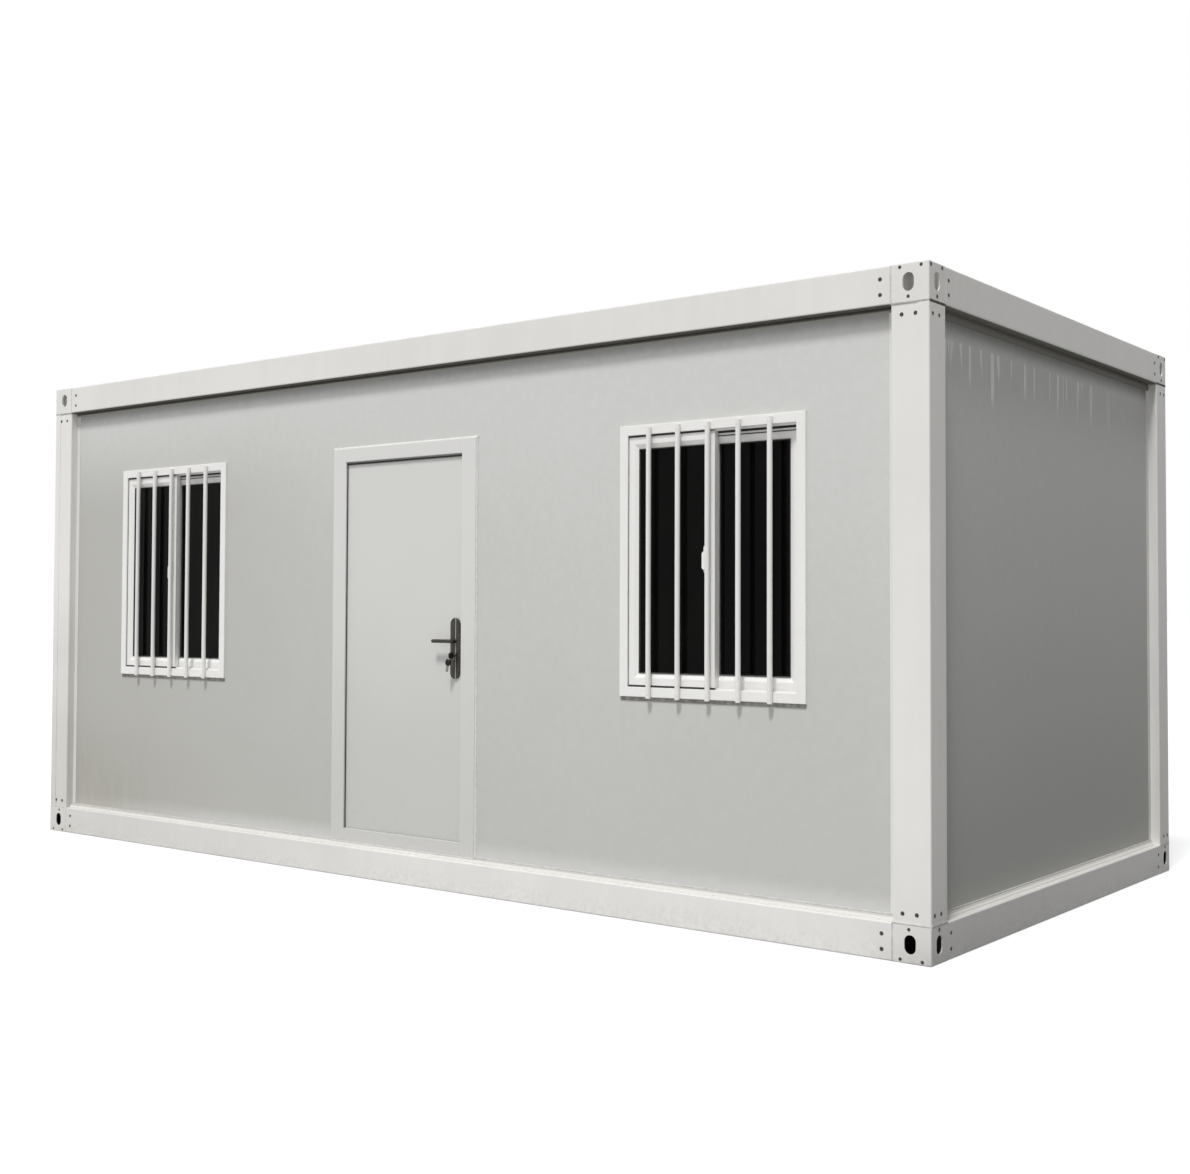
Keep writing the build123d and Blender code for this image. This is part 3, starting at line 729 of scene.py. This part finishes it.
def door_coat(name, colour, low_tone):
    """Satin paint over flat steel: paler above, scuffed near the floor, with faint orange peel."""
    coat = Finish(name, Specular_IOR_Level=0.25)
    cloud = coat.cloud(1.2, detail=4.0)
    height = coat.along("Z")
    fall = coat.ramp(height + (cloud - 0.5) * 0.8, leaf_high.z - 0.3, leaf_low.z)
    paint = coat.mix(coat.upward() * 0.85, coat.mix(fall, colour, low_tone), door_ledge)
    scuff = coat.ramp(height + (cloud - 0.5) * 0.4, leaf_low.z + 0.3, leaf_low.z)
    scuff = scuff * coat.ramp(coat.cloud(40, detail=5.0), 0.42, 0.7) * 0.1
    wave = coat.cloud(1.9, detail=1.0) * 5 + coat.cloud(peel_to_the_metre) * 0.08
    coat.show(
        Base_Color=coat.mix(scuff, paint, frame_grime),
        Roughness=0.45 + scuff * 0.4 + (cloud - 0.5) * 0.12,
        Normal=coat.relief(wave, wave_depth),
    )
    return coat


dress(door_coat("door_frame_coat", door_grey, door_low_tone), "door_frame")


def moulding(mesh, corners, section, closed):
    """Runs a section, points of reach and depth, round corners: each a point and its way in."""
    rings = []
    for point, inward in corners:
        rings.append([point + inward * reach + Vector((0, depth, 0)) for reach, depth in section])
    skin(mesh, rings, closed)


def rectangle(x, z, y):
    """An upright rectangle's corners with their way in, from the lower left one round by the top."""
    turns = ((0, 0), (0, 1), (1, 1), (1, 0))
    return [(Vector((x[i], y, z[j])), Vector((1 - 2 * i, 0, 1 - 2 * j))) for i, j in turns]


door_x = (leaf_low.x + leaf_overlap, leaf_high.x - leaf_overlap)
# The seal's head line is set lower, a wider dark band that is painted shade for the head's shadow.
door_z = (leaf_low.z + leaf_overlap, leaf_high.z - leaf_overlap - head_seal_shade_drop)
seal_black = rubber_seal("door_seal", rubber_black, rubber_dust)
seal = bmesh.new()
seal_section = [
    (seal_in_view * 0.4, 0),
    (seal_in_view, seal_depth * 0.3),
    (seal_in_view, seal_depth * 0.7),
    (seal_in_view * 0.4, seal_depth),
    (seal_in_view - seal_width, seal_depth),
    (seal_in_view - seal_width, 0),
]
seal_corners = rectangle(door_x, door_z, leaf_low.y - seal_depth - seal_gap)
moulding(seal, seal_corners, seal_section, closed=False)
add_piece("door_seal", seal, seal_black)

caulk_white = (0.76, 0.755, 0.735)
caulk_grey = (0.69, 0.685, 0.665)
caulk_width = 0.016
caulk_rise = 0.008
foot_caulk_width = 0.009
foot_caulk_rise = 0.003
foot_caulk_drop = 0.003
wall_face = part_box("front_wall_left")[0].y
casing_foot = strip_z
caulk = bmesh.new()
out = (0, -1, 0)
sides_x = (casing_low.x, casing_high.x)
for x in sides_x:
    upright = [(x, wall_face, z) for z in (casing_foot, casing_high.z)]
    bead(caulk, *upright, out, caulk_width, caulk_rise)
lap = caulk_width / 2
head_line = [(x, wall_face, casing_high.z) for x in (sides_x[0] - lap, sides_x[1] + lap)]
bead(caulk, *head_line, out, caulk_width, caulk_rise)
foot_y = casing_low.y + foot_caulk_rise
foot_line = [(x, foot_y, casing_foot - foot_caulk_drop) for x in sides_x]
bead(caulk, *foot_line, out, foot_caulk_width, foot_caulk_rise)
caulk_finish = grey_sealant("door_caulk", caulk_white, caulk_grey)
add_piece("door_caulk", caulk, caulk_finish, "root")

# The door leaf: two flush steel skins over a filled core, sprayed to match its frame.
# A lock plate is let into its edge, and three lift-off hinges carry it on the room's side.
leaf_grey = (0.70, 0.696, 0.676)
leaf_low_tone = (0.585, 0.583, 0.563)
hinge_grey = (0.50, 0.50, 0.49)
hinge_dull = (0.36, 0.35, 0.33)
hinge_screw = (0.0042, 0.0016)
lock_edge_size = (0.020, 0.165)
lock_edge_proud = 0.0008
lock_edge_sunk = 0.0005
lock_edge_chamfer = 0.0003
lock_edge_slack = 0.0001
bolt_tongue = (0.011, 0.03)
tongue_proud = 0.0025
tongue_round = 0.002
tongue_chamfer = 0.0008
tongue_rise = 0.036
edge_screw_rise = 0.07
edge_screw = (0.003, 0.0006)

dress(door_coat("door_leaf_coat", leaf_grey, leaf_low_tone), "door_leaf")

hinge_steel = plated_steel("hinge_steel", hinge_grey, hinge_dull, 0.8, 0.32)
dress(hinge_steel, "door_hinges_fixed", "door_hinges_moving")


def square_screw(mesh, place, radius, proud):
    """A round screw head of some radius and height, with a small square socket."""
    profile = [
        (radius, -0.5 * proud),
        (radius, 0.4 * proud),
        (0.75 * radius, proud),
        (0.4 * radius, proud),
        (0.36 * radius, proud, 4),
        (0.3 * radius, 0.1 * proud, 4),
    ]
    turned(mesh, profile, place, sides=16)


# Each flag of a hinge has three screws in a line near its outer edge.
hinge_height = 0.1
hinge_flag = 0.036
hinge_plate = 0.003
flag_screw_rise_shares = (0.18, 0.5, 0.82)
flag_screw_reach_share = 0.68
leaf_middle = (leaf_low.z + leaf_high.z) / 2
hinge_from_end = 0.22
hinge_axis_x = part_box("door_hinges_fixed")[0].x + hinge_flag
flag_face = leaf_high.y + hinge_plate
for half, body, sign, shift in (("fixed", "root", -1, -0.5), ("moving", "door", 1, 0.0)):
    screws = bmesh.new()
    for middle in (leaf_low.z + hinge_from_end, leaf_middle, leaf_high.z - hinge_from_end):
        for share in flag_screw_rise_shares:
            x = hinge_axis_x + sign * flag_screw_reach_share * hinge_flag
            z = middle + (shift + share / 2) * hinge_height
            square_screw(screws, facing((x, flag_face, z), (0, 1, 0)), *hinge_screw)
    add_piece(f"hinge_screws_{half}", screws, hinge_steel, body)


def rounded(width, height, radius, steps=6):
    """The outline of a rectangle with round corners, about its middle."""
    outline = []
    for corner in range(4):
        middle_x = (width / 2 - radius) * (1 if corner in (0, 3) else -1)
        middle_y = (height / 2 - radius) * (1 if corner in (0, 1) else -1)
        for step in range(steps + 1):
            angle = math.pi / 2 * (corner + step / steps)
            x = middle_x + radius * math.cos(angle)
            outline.append((x, middle_y + radius * math.sin(angle)))
    return outline


def plate(mesh, outline, thickness, place, edge=0.0):
    """An outline made into a plate along a place's Z, its front edge eased by a chamfer."""
    span = max(abs(v) for point in outline for v in point)
    rows = [(1.0, 0.0), (1.0, thickness - edge), (1.0 - edge / span, thickness)]
    if not edge:
        rows = rows[:2]
    skin(mesh, [[place @ Vector((x * s, y * s, z)) for x, y in outline] for s, z in rows])


lock_low, lock_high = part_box("door_lock_plates")
lock_middle_z = (lock_low.z + lock_high.z) / 2
lock_middle_x = (lock_low.x + lock_high.x) / 2
leaf_middle_y = (leaf_low.y + leaf_high.y) / 2
lock_edge = bmesh.new()
edge_seat = (leaf_high.x - lock_edge_sunk, leaf_middle_y, lock_middle_z)
edge_place = facing(edge_seat, (1, 0, 0))
edge_thickness = lock_edge_proud + lock_edge_sunk
edge_outline = rounded(*lock_edge_size, lock_edge_size[0] / 2 - lock_edge_slack)
plate(lock_edge, edge_outline, edge_thickness, edge_place, lock_edge_chamfer)
tongue_outline = rounded(*bolt_tongue, tongue_round)
for rise in (tongue_rise, -tongue_rise):
    tongue_place = edge_place @ Matrix.Translation((0, rise, 0))
    plate(lock_edge, tongue_outline, tongue_proud, tongue_place, tongue_chamfer)
for rise in (edge_screw_rise, -edge_screw_rise):
    screw_place = edge_place @ Matrix.Translation((0, rise, edge_thickness))
    square_screw(lock_edge, screw_place, *edge_screw)
add_piece("door_lock_edge", lock_edge, hinge_steel, "door")

# The lock: long dark crowned plates on both faces, a lever on each, a darkened brass cylinder and its
# key. A second key hangs from the first one's ring, outside.
lock_tone = (0.034, 0.033, 0.028)
lock_worn = (0.07, 0.068, 0.06)
brass_dark = (0.16, 0.14, 0.11)
brass_dull = (0.07, 0.062, 0.05)
key_black = (0.007, 0.007, 0.007)
key_black_worn = (0.018, 0.018, 0.017)
key_grey = (0.26, 0.255, 0.24)
key_dull = (0.13, 0.127, 0.12)
lock_metallic = 0.55
lock_roughness = 0.3
plate_screw_from_end = 0.022
plate_screw = (0.0045, 0.0012)

lock_finish = plated_steel("lock_finish", lock_tone, lock_worn, lock_metallic, lock_roughness)
dress(lock_finish, "door_lever")

# A painted highlight runs down the plates beside their crown.
crown_painted_highlight = (0.55, 0.54, 0.50)
highlight_offset = 0.007
highlight_half = 0.0026
highlight_share = 0.8
plate_shine = (lock_metallic, lock_roughness)
plate_finish = plated_steel("lock_plate_finish", lock_tone, lock_worn, *plate_shine)
# The painted highlight is a thin line just off the plates' middle.
off_highlight = (plate_finish.along("X") - lock_middle_x - highlight_offset).size()
painted_highlight = plate_finish.ramp(off_highlight, highlight_half, 0.3 * highlight_half)
painted_highlight = painted_highlight * plate_finish.ramp(plate_finish.cloud(60, stretch=(1, 1, 0.3)), 0.3, 0.5)
plate_finish.cover(painted_highlight * highlight_share, crown_painted_highlight)
dress(plate_finish, "door_lock_plates")
dress(plated_steel("cylinder_brass", brass_dark, brass_dull, 0.8, 0.32), "door_lock_cylinder")

plate_screws = bmesh.new()
for face_y, out in ((lock_low.y, -1), (lock_high.y, 1)):
    for z in (lock_low.z + plate_screw_from_end, lock_high.z - plate_screw_from_end):
        seat = facing((lock_middle_x, face_y, z), (0, out, 0))
        square_screw(plate_screws, seat, *plate_screw)
add_piece("lock_plate_screws", plate_screws, lock_finish, "door")

cylinder_low, cylinder_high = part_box("door_lock_cylinder")
barrel_radius = (cylinder_high.x - cylinder_low.x) / 2
key_z = cylinder_high.z - barrel_radius
key_blade = (0.0085, 0.0022)
key_blade_round = 0.0008
key_blade_sunk = 0.003
key_blade_lap = 0.004
key_out = 0.005
bow_width = 0.032
bow_length = 0.033
bow_thickness = 0.010
bow_edge = 0.0015
bow_round_share = 0.42
ring_radius = 0.010
ring_wire = 0.0011
ring_turn = math.radians(70)
ring_from_bow_end = 0.006
ring_lap = 0.002
key_swing = math.radians(12)
hung_shift = -0.006
hung_lap = 0.007
hung_blade = (0.015, 0.034)
hung_blade_round = 0.003
hung_blade_lap = 0.002


def key_bow(mesh, place):
    """A key's flat moulded grip with round corners, its length along the place's Y."""
    outline = rounded(bow_width, bow_length, bow_round_share * bow_width)
    for half in (place, place @ Matrix.Rotation(math.pi, 4, "Y")):
        plate(mesh, outline, bow_thickness / 2, half, bow_edge)


def wire_ring(mesh, place, steps=36, sides=8):
    """A closed ring of round wire about a place's Z."""
    rings = []
    for step in range(steps):
        angle = 2 * math.pi * step / steps
        ring = []
        for side in range(sides):
            turn = 2 * math.pi * side / sides
            reach = ring_radius + ring_wire * math.cos(turn)
            rise = ring_wire * math.sin(turn)
            ring.append(place @ Vector((reach * math.cos(angle), reach * math.sin(angle), rise)))
        rings.append(ring)
    skin(mesh, rings, closed=True)


# The grips are black moulded plastic, rubbed paler in places.
key_plastic = Finish("key_plastic", Specular_IOR_Level=0.2)
rub = key_plastic.ramp(key_plastic.cloud(160, detail=3.0), 0.45, 0.72)
key_plastic.show(
    Base_Color=key_plastic.mix(rub, key_black, key_black_worn),
    Roughness=0.5 + rub * 0.2,
    Normal=key_plastic.relief(key_plastic.cloud(1500), 0.00004),
)
key_steel = plated_steel("key_steel", key_grey, key_dull, 0.3, 0.4)
key_x = (cylinder_low.x + cylinder_high.x) / 2
key_root = Vector((key_x, cylinder_low.y, key_z))
bow_middle = key_root + Vector((0, -key_out - bow_length / 2, 0))
on_edge = Matrix.Rotation(math.pi / 2, 4, "Y")
on_end = Matrix.Rotation(math.pi / 2, 4, "X")
bows = bmesh.new()
key_bow(bows, Matrix.Translation(bow_middle) @ on_edge)
ring_top = bow_middle + Vector((0, -bow_length / 2 + ring_from_bow_end, -bow_width / 4))
ring_middle = ring_top + Vector((0, 0, -ring_radius + ring_lap))
hang = Matrix.Translation(ring_middle) @ Matrix.Rotation(key_swing, 4, "Y")
hung_drop = -ring_radius - bow_length / 2 + hung_lap
hung_middle = hang @ Matrix.Translation((hung_shift, 0, hung_drop)) @ on_end
key_bow(bows, hung_middle)
add_piece("key_bows", bows, key_plastic, "door")

blades = bmesh.new()
blade_outline = rounded(key_blade[1], key_blade[0], key_blade_round)
blade_root = key_root + Vector((0, key_blade_sunk, 0))
plate(blades, blade_outline, key_out + key_blade_lap, facing(blade_root, (0, -1, 0)))
hung_y = -bow_length / 2 - hung_blade[1] / 2 + hung_blade_lap
hung_place = hung_middle @ Matrix.Translation((0, hung_y, -key_blade[1] / 2))
plate(blades, rounded(*hung_blade, hung_blade_round), key_blade[1], hung_place)
ring_place = Matrix.Translation(ring_middle) @ Matrix.Rotation(ring_turn, 4, "Z") @ on_end
wire_ring(blades, ring_place)
add_piece("key_blades", blades, key_steel, "door")

# The windows: white extruded frames and sashes, two panes sliding past each other in each.
# Dark rubber holds the glass, dark pile seals the tracks and also stands in for the shade in their
# gaps, and a moulded latch sits on the left sash. A grey bead under the sill is painted shadow.
window_white = (0.875, 0.87, 0.85)
window_yellowed = (0.835, 0.825, 0.795)
window_frame_face = 0.045
track_rib = 0.008
sash_face = 0.055
sash_thickness = 0.026
sash_pitch = 0.030
sash_overlap = 0.054
glass_half = 0.0025
bead_width = 0.005
bead_depth = 0.006
pile_width = 0.005
pile_rise = 0.009
stile_pile_rise = 0.0018
sash_groove_rise = 0.003
sash_groove_drop = 0.020
pile_shade_dark = (0.03, 0.03, 0.028)
pile_shade_grey = (0.085, 0.083, 0.078)
sill_shadow_dark = (0.23, 0.225, 0.205)
sill_shadow_grey = (0.36, 0.35, 0.325)
sill_shadow_width = 0.026
sill_shadow_rise = 0.006
sill_shadow_drop = 0.005
latch_rise_share = 0.5
latch_size = (0.018, 0.12)
latch_round = 0.006
latch_thickness = 0.007
latch_edge = 0.0015
latch_boss = [(0.0075, 0.006), (0.0075, 0.010), (0.006, 0.012)]
grip_size = (0.020, 0.08)
grip_round = 0.0095
grip_thickness = 0.006
grip_shift = (-0.006, -0.006, 0.006)
glass_dark = (0.002, 0.002, 0.002)
glass_painted_reflection = (0.006, 0.006, 0.005)

frames = Finish("window_white", Specular_IOR_Level=0.45)
frame_cloud = frames.cloud(5.0, detail=4.0)
frame_dust = frames.ramp(frames.cloud(60, detail=5.0), 0.48, 0.74) * 0.3
frame_age = frame_dust + frames.ramp(frame_cloud, 0.4, 0.7) * 0.4
frame_tone = frames.mix(frame_age, window_white, window_yellowed)
frames.show(
    Base_Color=frames.mix(frames.upward() * 0.55, frame_tone, ledge_dust),
    Roughness=0.3 + frame_dust * 0.5,
    Normal=frames.relief(frames.cloud(300), 0.00005),
)
window_names = ("left", "right")
dress(frames, *[f"{side}_window_{part}" for side in window_names for part in ("frame", "sashes")])

glass = Finish("window_glass", Specular_IOR_Level=0.05, Alpha=0.96)
# Paler clouds in the dark glass are a painted reflection.
cloudy_layer = glass.ramp(glass.cloud(3.2, detail=4.0, stretch=(1, 1, 0.4)), 0.45, 0.8)
glass.show(
    Base_Color=glass.mix(cloudy_layer, glass_dark, glass_painted_reflection),
    Roughness=0.04 + cloudy_layer * 0.12,
)
dress(glass, "window_glass")

glazing = bmesh.new()
pile_and_shade_lines = bmesh.new()
latches = bmesh.new()
sill_sealant = bmesh.new()
for side in window_names:
    low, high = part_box(f"{side}_window_frame")
    middle_x = (low.x + high.x) / 2
    middle_y = (low.y + high.y) / 2
    sash_z = (low.z + window_frame_face + track_rib, high.z - window_frame_face - track_rib)
    track_left = low.x + window_frame_face
    track_right = high.x - window_frame_face
    front_plane = middle_y - sash_pitch / 2
    rear_plane = middle_y + sash_pitch / 2
    front_right = middle_x + sash_overlap / 2
    rear_left = middle_x - sash_overlap / 2
    front_face = front_plane - sash_thickness / 2
    spans = ((track_left, front_right, front_plane), (rear_left, track_right, rear_plane))
    for left, right, plane in spans:
        pane_x = (left + sash_face, right - sash_face)
        pane_z = (sash_z[0] + sash_face, sash_z[1] - sash_face)
        for out in (-1, 1):
            inner = out * glass_half
            outer = inner + out * bead_depth
            section = [(0, inner), (bead_width, inner), (0.4 * bead_width, outer), (0, outer)]
            moulding(glazing, rectangle(pane_x, pane_z, plane), section, closed=True)

    # Painted shadow: a grey bead along the underside of the frame's foot.
    sill_x = (low.x + sill_shadow_drop, high.x - sill_shadow_drop)
    sill_line = [(x, wall_face, low.z - sill_shadow_drop) for x in sill_x]
    bead(sill_sealant, *sill_line, (0, -1, 0), sill_shadow_width, sill_shadow_rise)

    head_z = high.z - window_frame_face
    foot_z = low.z + window_frame_face
    down = (0, 0, -1)
    # The pile's dark lines also stand in for the shade in the tracks' gaps and along the sashes.
    for y, z in ((front_plane + pile_width, head_z), (middle_y, head_z - track_rib)):
        bead(pile_and_shade_lines, (middle_x, y, z), (track_right, y, z), down, pile_width, pile_rise)
    for y in (front_face, front_plane + sash_thickness / 2):
        bead(pile_and_shade_lines, (track_left, y, head_z), (middle_x, y, head_z), down, pile_width, pile_rise)
    under_sash = [(x, front_face, foot_z) for x in (track_left, front_right)]
    bead(pile_and_shade_lines, *under_sash, (0, 0, 1), pile_width, pile_rise)
    beside_sash = [(track_left, front_face, z) for z in sash_z]
    bead(pile_and_shade_lines, *beside_sash, (1, 0, 0), pile_width, stile_pile_rise)
    # A dark line across the rear sash's top rail is painted shade.
    groove_y = rear_plane - sash_thickness / 2
    groove_z = sash_z[1] - sash_groove_drop
    groove_shade_line = [(x, groove_y, groove_z) for x in (front_right, track_right)]
    bead(pile_and_shade_lines, *groove_shade_line, (0, -1, 0), pile_width, sash_groove_rise)

    latch_x = front_right - sash_face + latch_size[0] / 2
    latch_z = sash_z[0] + latch_rise_share * (sash_z[1] - sash_z[0])
    seat = facing((latch_x, front_face, latch_z), (0, -1, 0))
    plate(latches, rounded(*latch_size, latch_round), latch_thickness, seat, latch_edge)
    turned(latches, latch_boss, seat)
    grip = seat @ Matrix.Translation(grip_shift)
    plate(latches, rounded(*grip_size, grip_round), grip_thickness, grip, latch_edge)
glazing_rubber = rubber_seal("glazing_rubber", rubber_black, rubber_dust)
add_piece("window_glazing_beads", glazing, glazing_rubber)
sill_shadow_finish = grey_sealant("sill_sealant", sill_shadow_grey, sill_shadow_dark)
add_piece("window_sill_shadow_bead", sill_sealant, sill_shadow_finish)
add_piece("window_pile_and_shade", pile_and_shade_lines, rubber_seal("track_pile", pile_shade_dark, pile_shade_grey))
add_piece("window_latches", latches, frames, "root")

# The window bars: round steel bars, flattened at both ends and screwed to the frame's head and sill.
# They are sprayed white in place, so the screws are white as well.
bar_white = (0.85, 0.845, 0.825)
bar_pitch = 0.16
bar_count = 5
bar_roughness = 0.36
bar_screw_from_end = 0.02
bar_screw_sunk = 0.0006
bar_screw = (0.0048, 0.0018)
bar_coat = sprayed_coat("bar_coat", bar_white, bar_roughness)
dress(bar_coat, "window_bars")
bars_low, bars_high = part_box("window_bars")
bar_screws = bmesh.new()
for side in window_names:
    low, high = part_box(f"{side}_window_frame")
    for step in range(bar_count):
        x = (low.x + high.x) / 2 + (step - (bar_count - 1) / 2) * bar_pitch
        for z in (bars_low.z + bar_screw_from_end, bars_high.z - bar_screw_from_end):
            seat = facing((x, bars_low.y + bar_screw_sunk, z), (0, -1, 0))
            square_screw(bar_screws, seat, *bar_screw)
add_piece("bar_screws", bar_screws, bar_coat, "root")

# The studio: a pale floor that shows white, keeps a soft shadow and throws no light on the right end;
# a white sky, a little weaker from the right; one sun high in front; and a camera where the picture
# was taken.
floor_reach = 300.0
floor_gap = 0.0005
floor_bounce = 0.42
floor_shade = 0.0
shade_width = 6.0
shade_fade = 1.5
shade_left_fade = 0.3
shade_front_fade = 0.4
floor_pale = 0.98
floor_glow_share = 0.62
sky_fill = 0.52
sky_front = 0.08
sky_right = -0.30
sun_level = 0.80
sun_softness = 0.17
sun_right = math.radians(13)
sun_height = math.radians(64)
picture_width = 1190
picture_height = 1174
lens_pixels = 1536.815
axis_pixel_y = 564.675
camera_place = (5.7141, -7.0807, 1.3873)
camera_yaw = 0.66106
camera_pitch = 0.03137
camera_roll = 0.00356
film_width = 36.0


def seen_directly(finish):
    """1 for rays from the camera, from gloss and through glass, 0 for light that surfaces gather."""
    kinds = ("Camera", "Glossy", "Transmission")
    rays = [finish.add("ShaderNodeLightPath", output=f"Is {kind} Ray") for kind in kinds]
    total = rays[0] + rays[1] + rays[2]
    return finish.add("ShaderNodeClamp", None, {"Value": total})


ground = Finish("studio_floor", Roughness=1.0, Specular_IOR_Level=0.0)
seen = seen_directly(ground)
ground_x = ground.along("X")
shade_end = cabin_high.x + shade_width
beside_end = ground.ramp(ground_x, cabin_high.x - shade_left_fade, cabin_high.x)
beside_end = beside_end * ground.ramp(ground_x, shade_end + shade_fade, shade_end)
in_front = cabin_low.y - shade_front_fade
beside_end = beside_end * ground.ramp(ground.along("Y"), in_front, cabin_low.y)
bounce = ground.mix(beside_end, (floor_bounce,) * 3, (floor_shade,) * 3)
ground.show(Base_Color=ground.mix(seen, bounce, (floor_pale,) * 3))
glow = ground.add("ShaderNodeEmission", None, {"Color": (1, 1, 1, 1), "Strength": 1.0})
lit = Wire(ground, ground.shader.outputs[0])
surface = ground.add("ShaderNodeMixShader", None, {0: seen * floor_glow_share, 1: lit, 2: glow})
ground.feed(ground.tree.nodes["Material Output"].inputs["Surface"], surface)
floor_mesh = bmesh.new()
bmesh.ops.create_grid(floor_mesh, x_segments=1, y_segments=1, size=floor_reach)
floor_data = bpy.data.meshes.new("studio_floor")
floor_mesh.to_mesh(floor_data)
floor_mesh.free()
floor_data.materials.append(ground.owner)
floor = bpy.data.objects.new("studio_floor", floor_data)
floor.location.z = cabin_low.z - floor_gap
bpy.context.scene.collection.objects.link(floor)

sky = Finish(bpy.data.worlds.new("studio_sky"))
bpy.context.scene.world = sky.owner
background = sky.tree.nodes["Background"]
sky.feed(background.inputs["Color"], (1, 1, 1, 1))
ray = sky.add("ShaderNodeTexCoord", output="Generated")
fill = sky_fill + sky_right * sky.add("ShaderNodeSeparateXYZ", None, {0: ray}, output="X")
fill = fill - sky_front * sky.add("ShaderNodeSeparateXYZ", None, {0: ray}, output="Y")
looked_at = seen_directly(sky)
sky.feed(background.inputs["Strength"], looked_at + fill * (1 - looked_at))

sun = bpy.data.objects.new("sun", bpy.data.lights.new("sun", "SUN"))
sun.data.energy = sun_level * math.pi
sun.data.angle = sun_softness
to_sun = Vector((math.sin(sun_right), -math.cos(sun_right), math.tan(sun_height)))
sun.rotation_euler = to_sun.to_track_quat("Z", "Y").to_euler()
bpy.context.scene.collection.objects.link(sun)

camera = bpy.data.objects.new("camera", bpy.data.cameras.new("camera"))
camera.data.sensor_fit = "HORIZONTAL"
camera.data.sensor_width = film_width
camera.data.lens = lens_pixels / picture_width * film_width
camera.data.shift_y = (axis_pixel_y - picture_height / 2) / picture_width
aim = Matrix.Rotation(camera_yaw, 4, "Z") @ Matrix.Rotation(math.pi / 2 + camera_pitch, 4, "X")
camera.matrix_world = Matrix.Translation(camera_place) @ aim @ Matrix.Rotation(camera_roll, 4, "Z")
camera.data.clip_end = 2 * floor_reach
bpy.context.scene.collection.objects.link(camera)
bpy.context.scene.camera = camera
bpy.context.scene.view_settings.view_transform = "Standard"
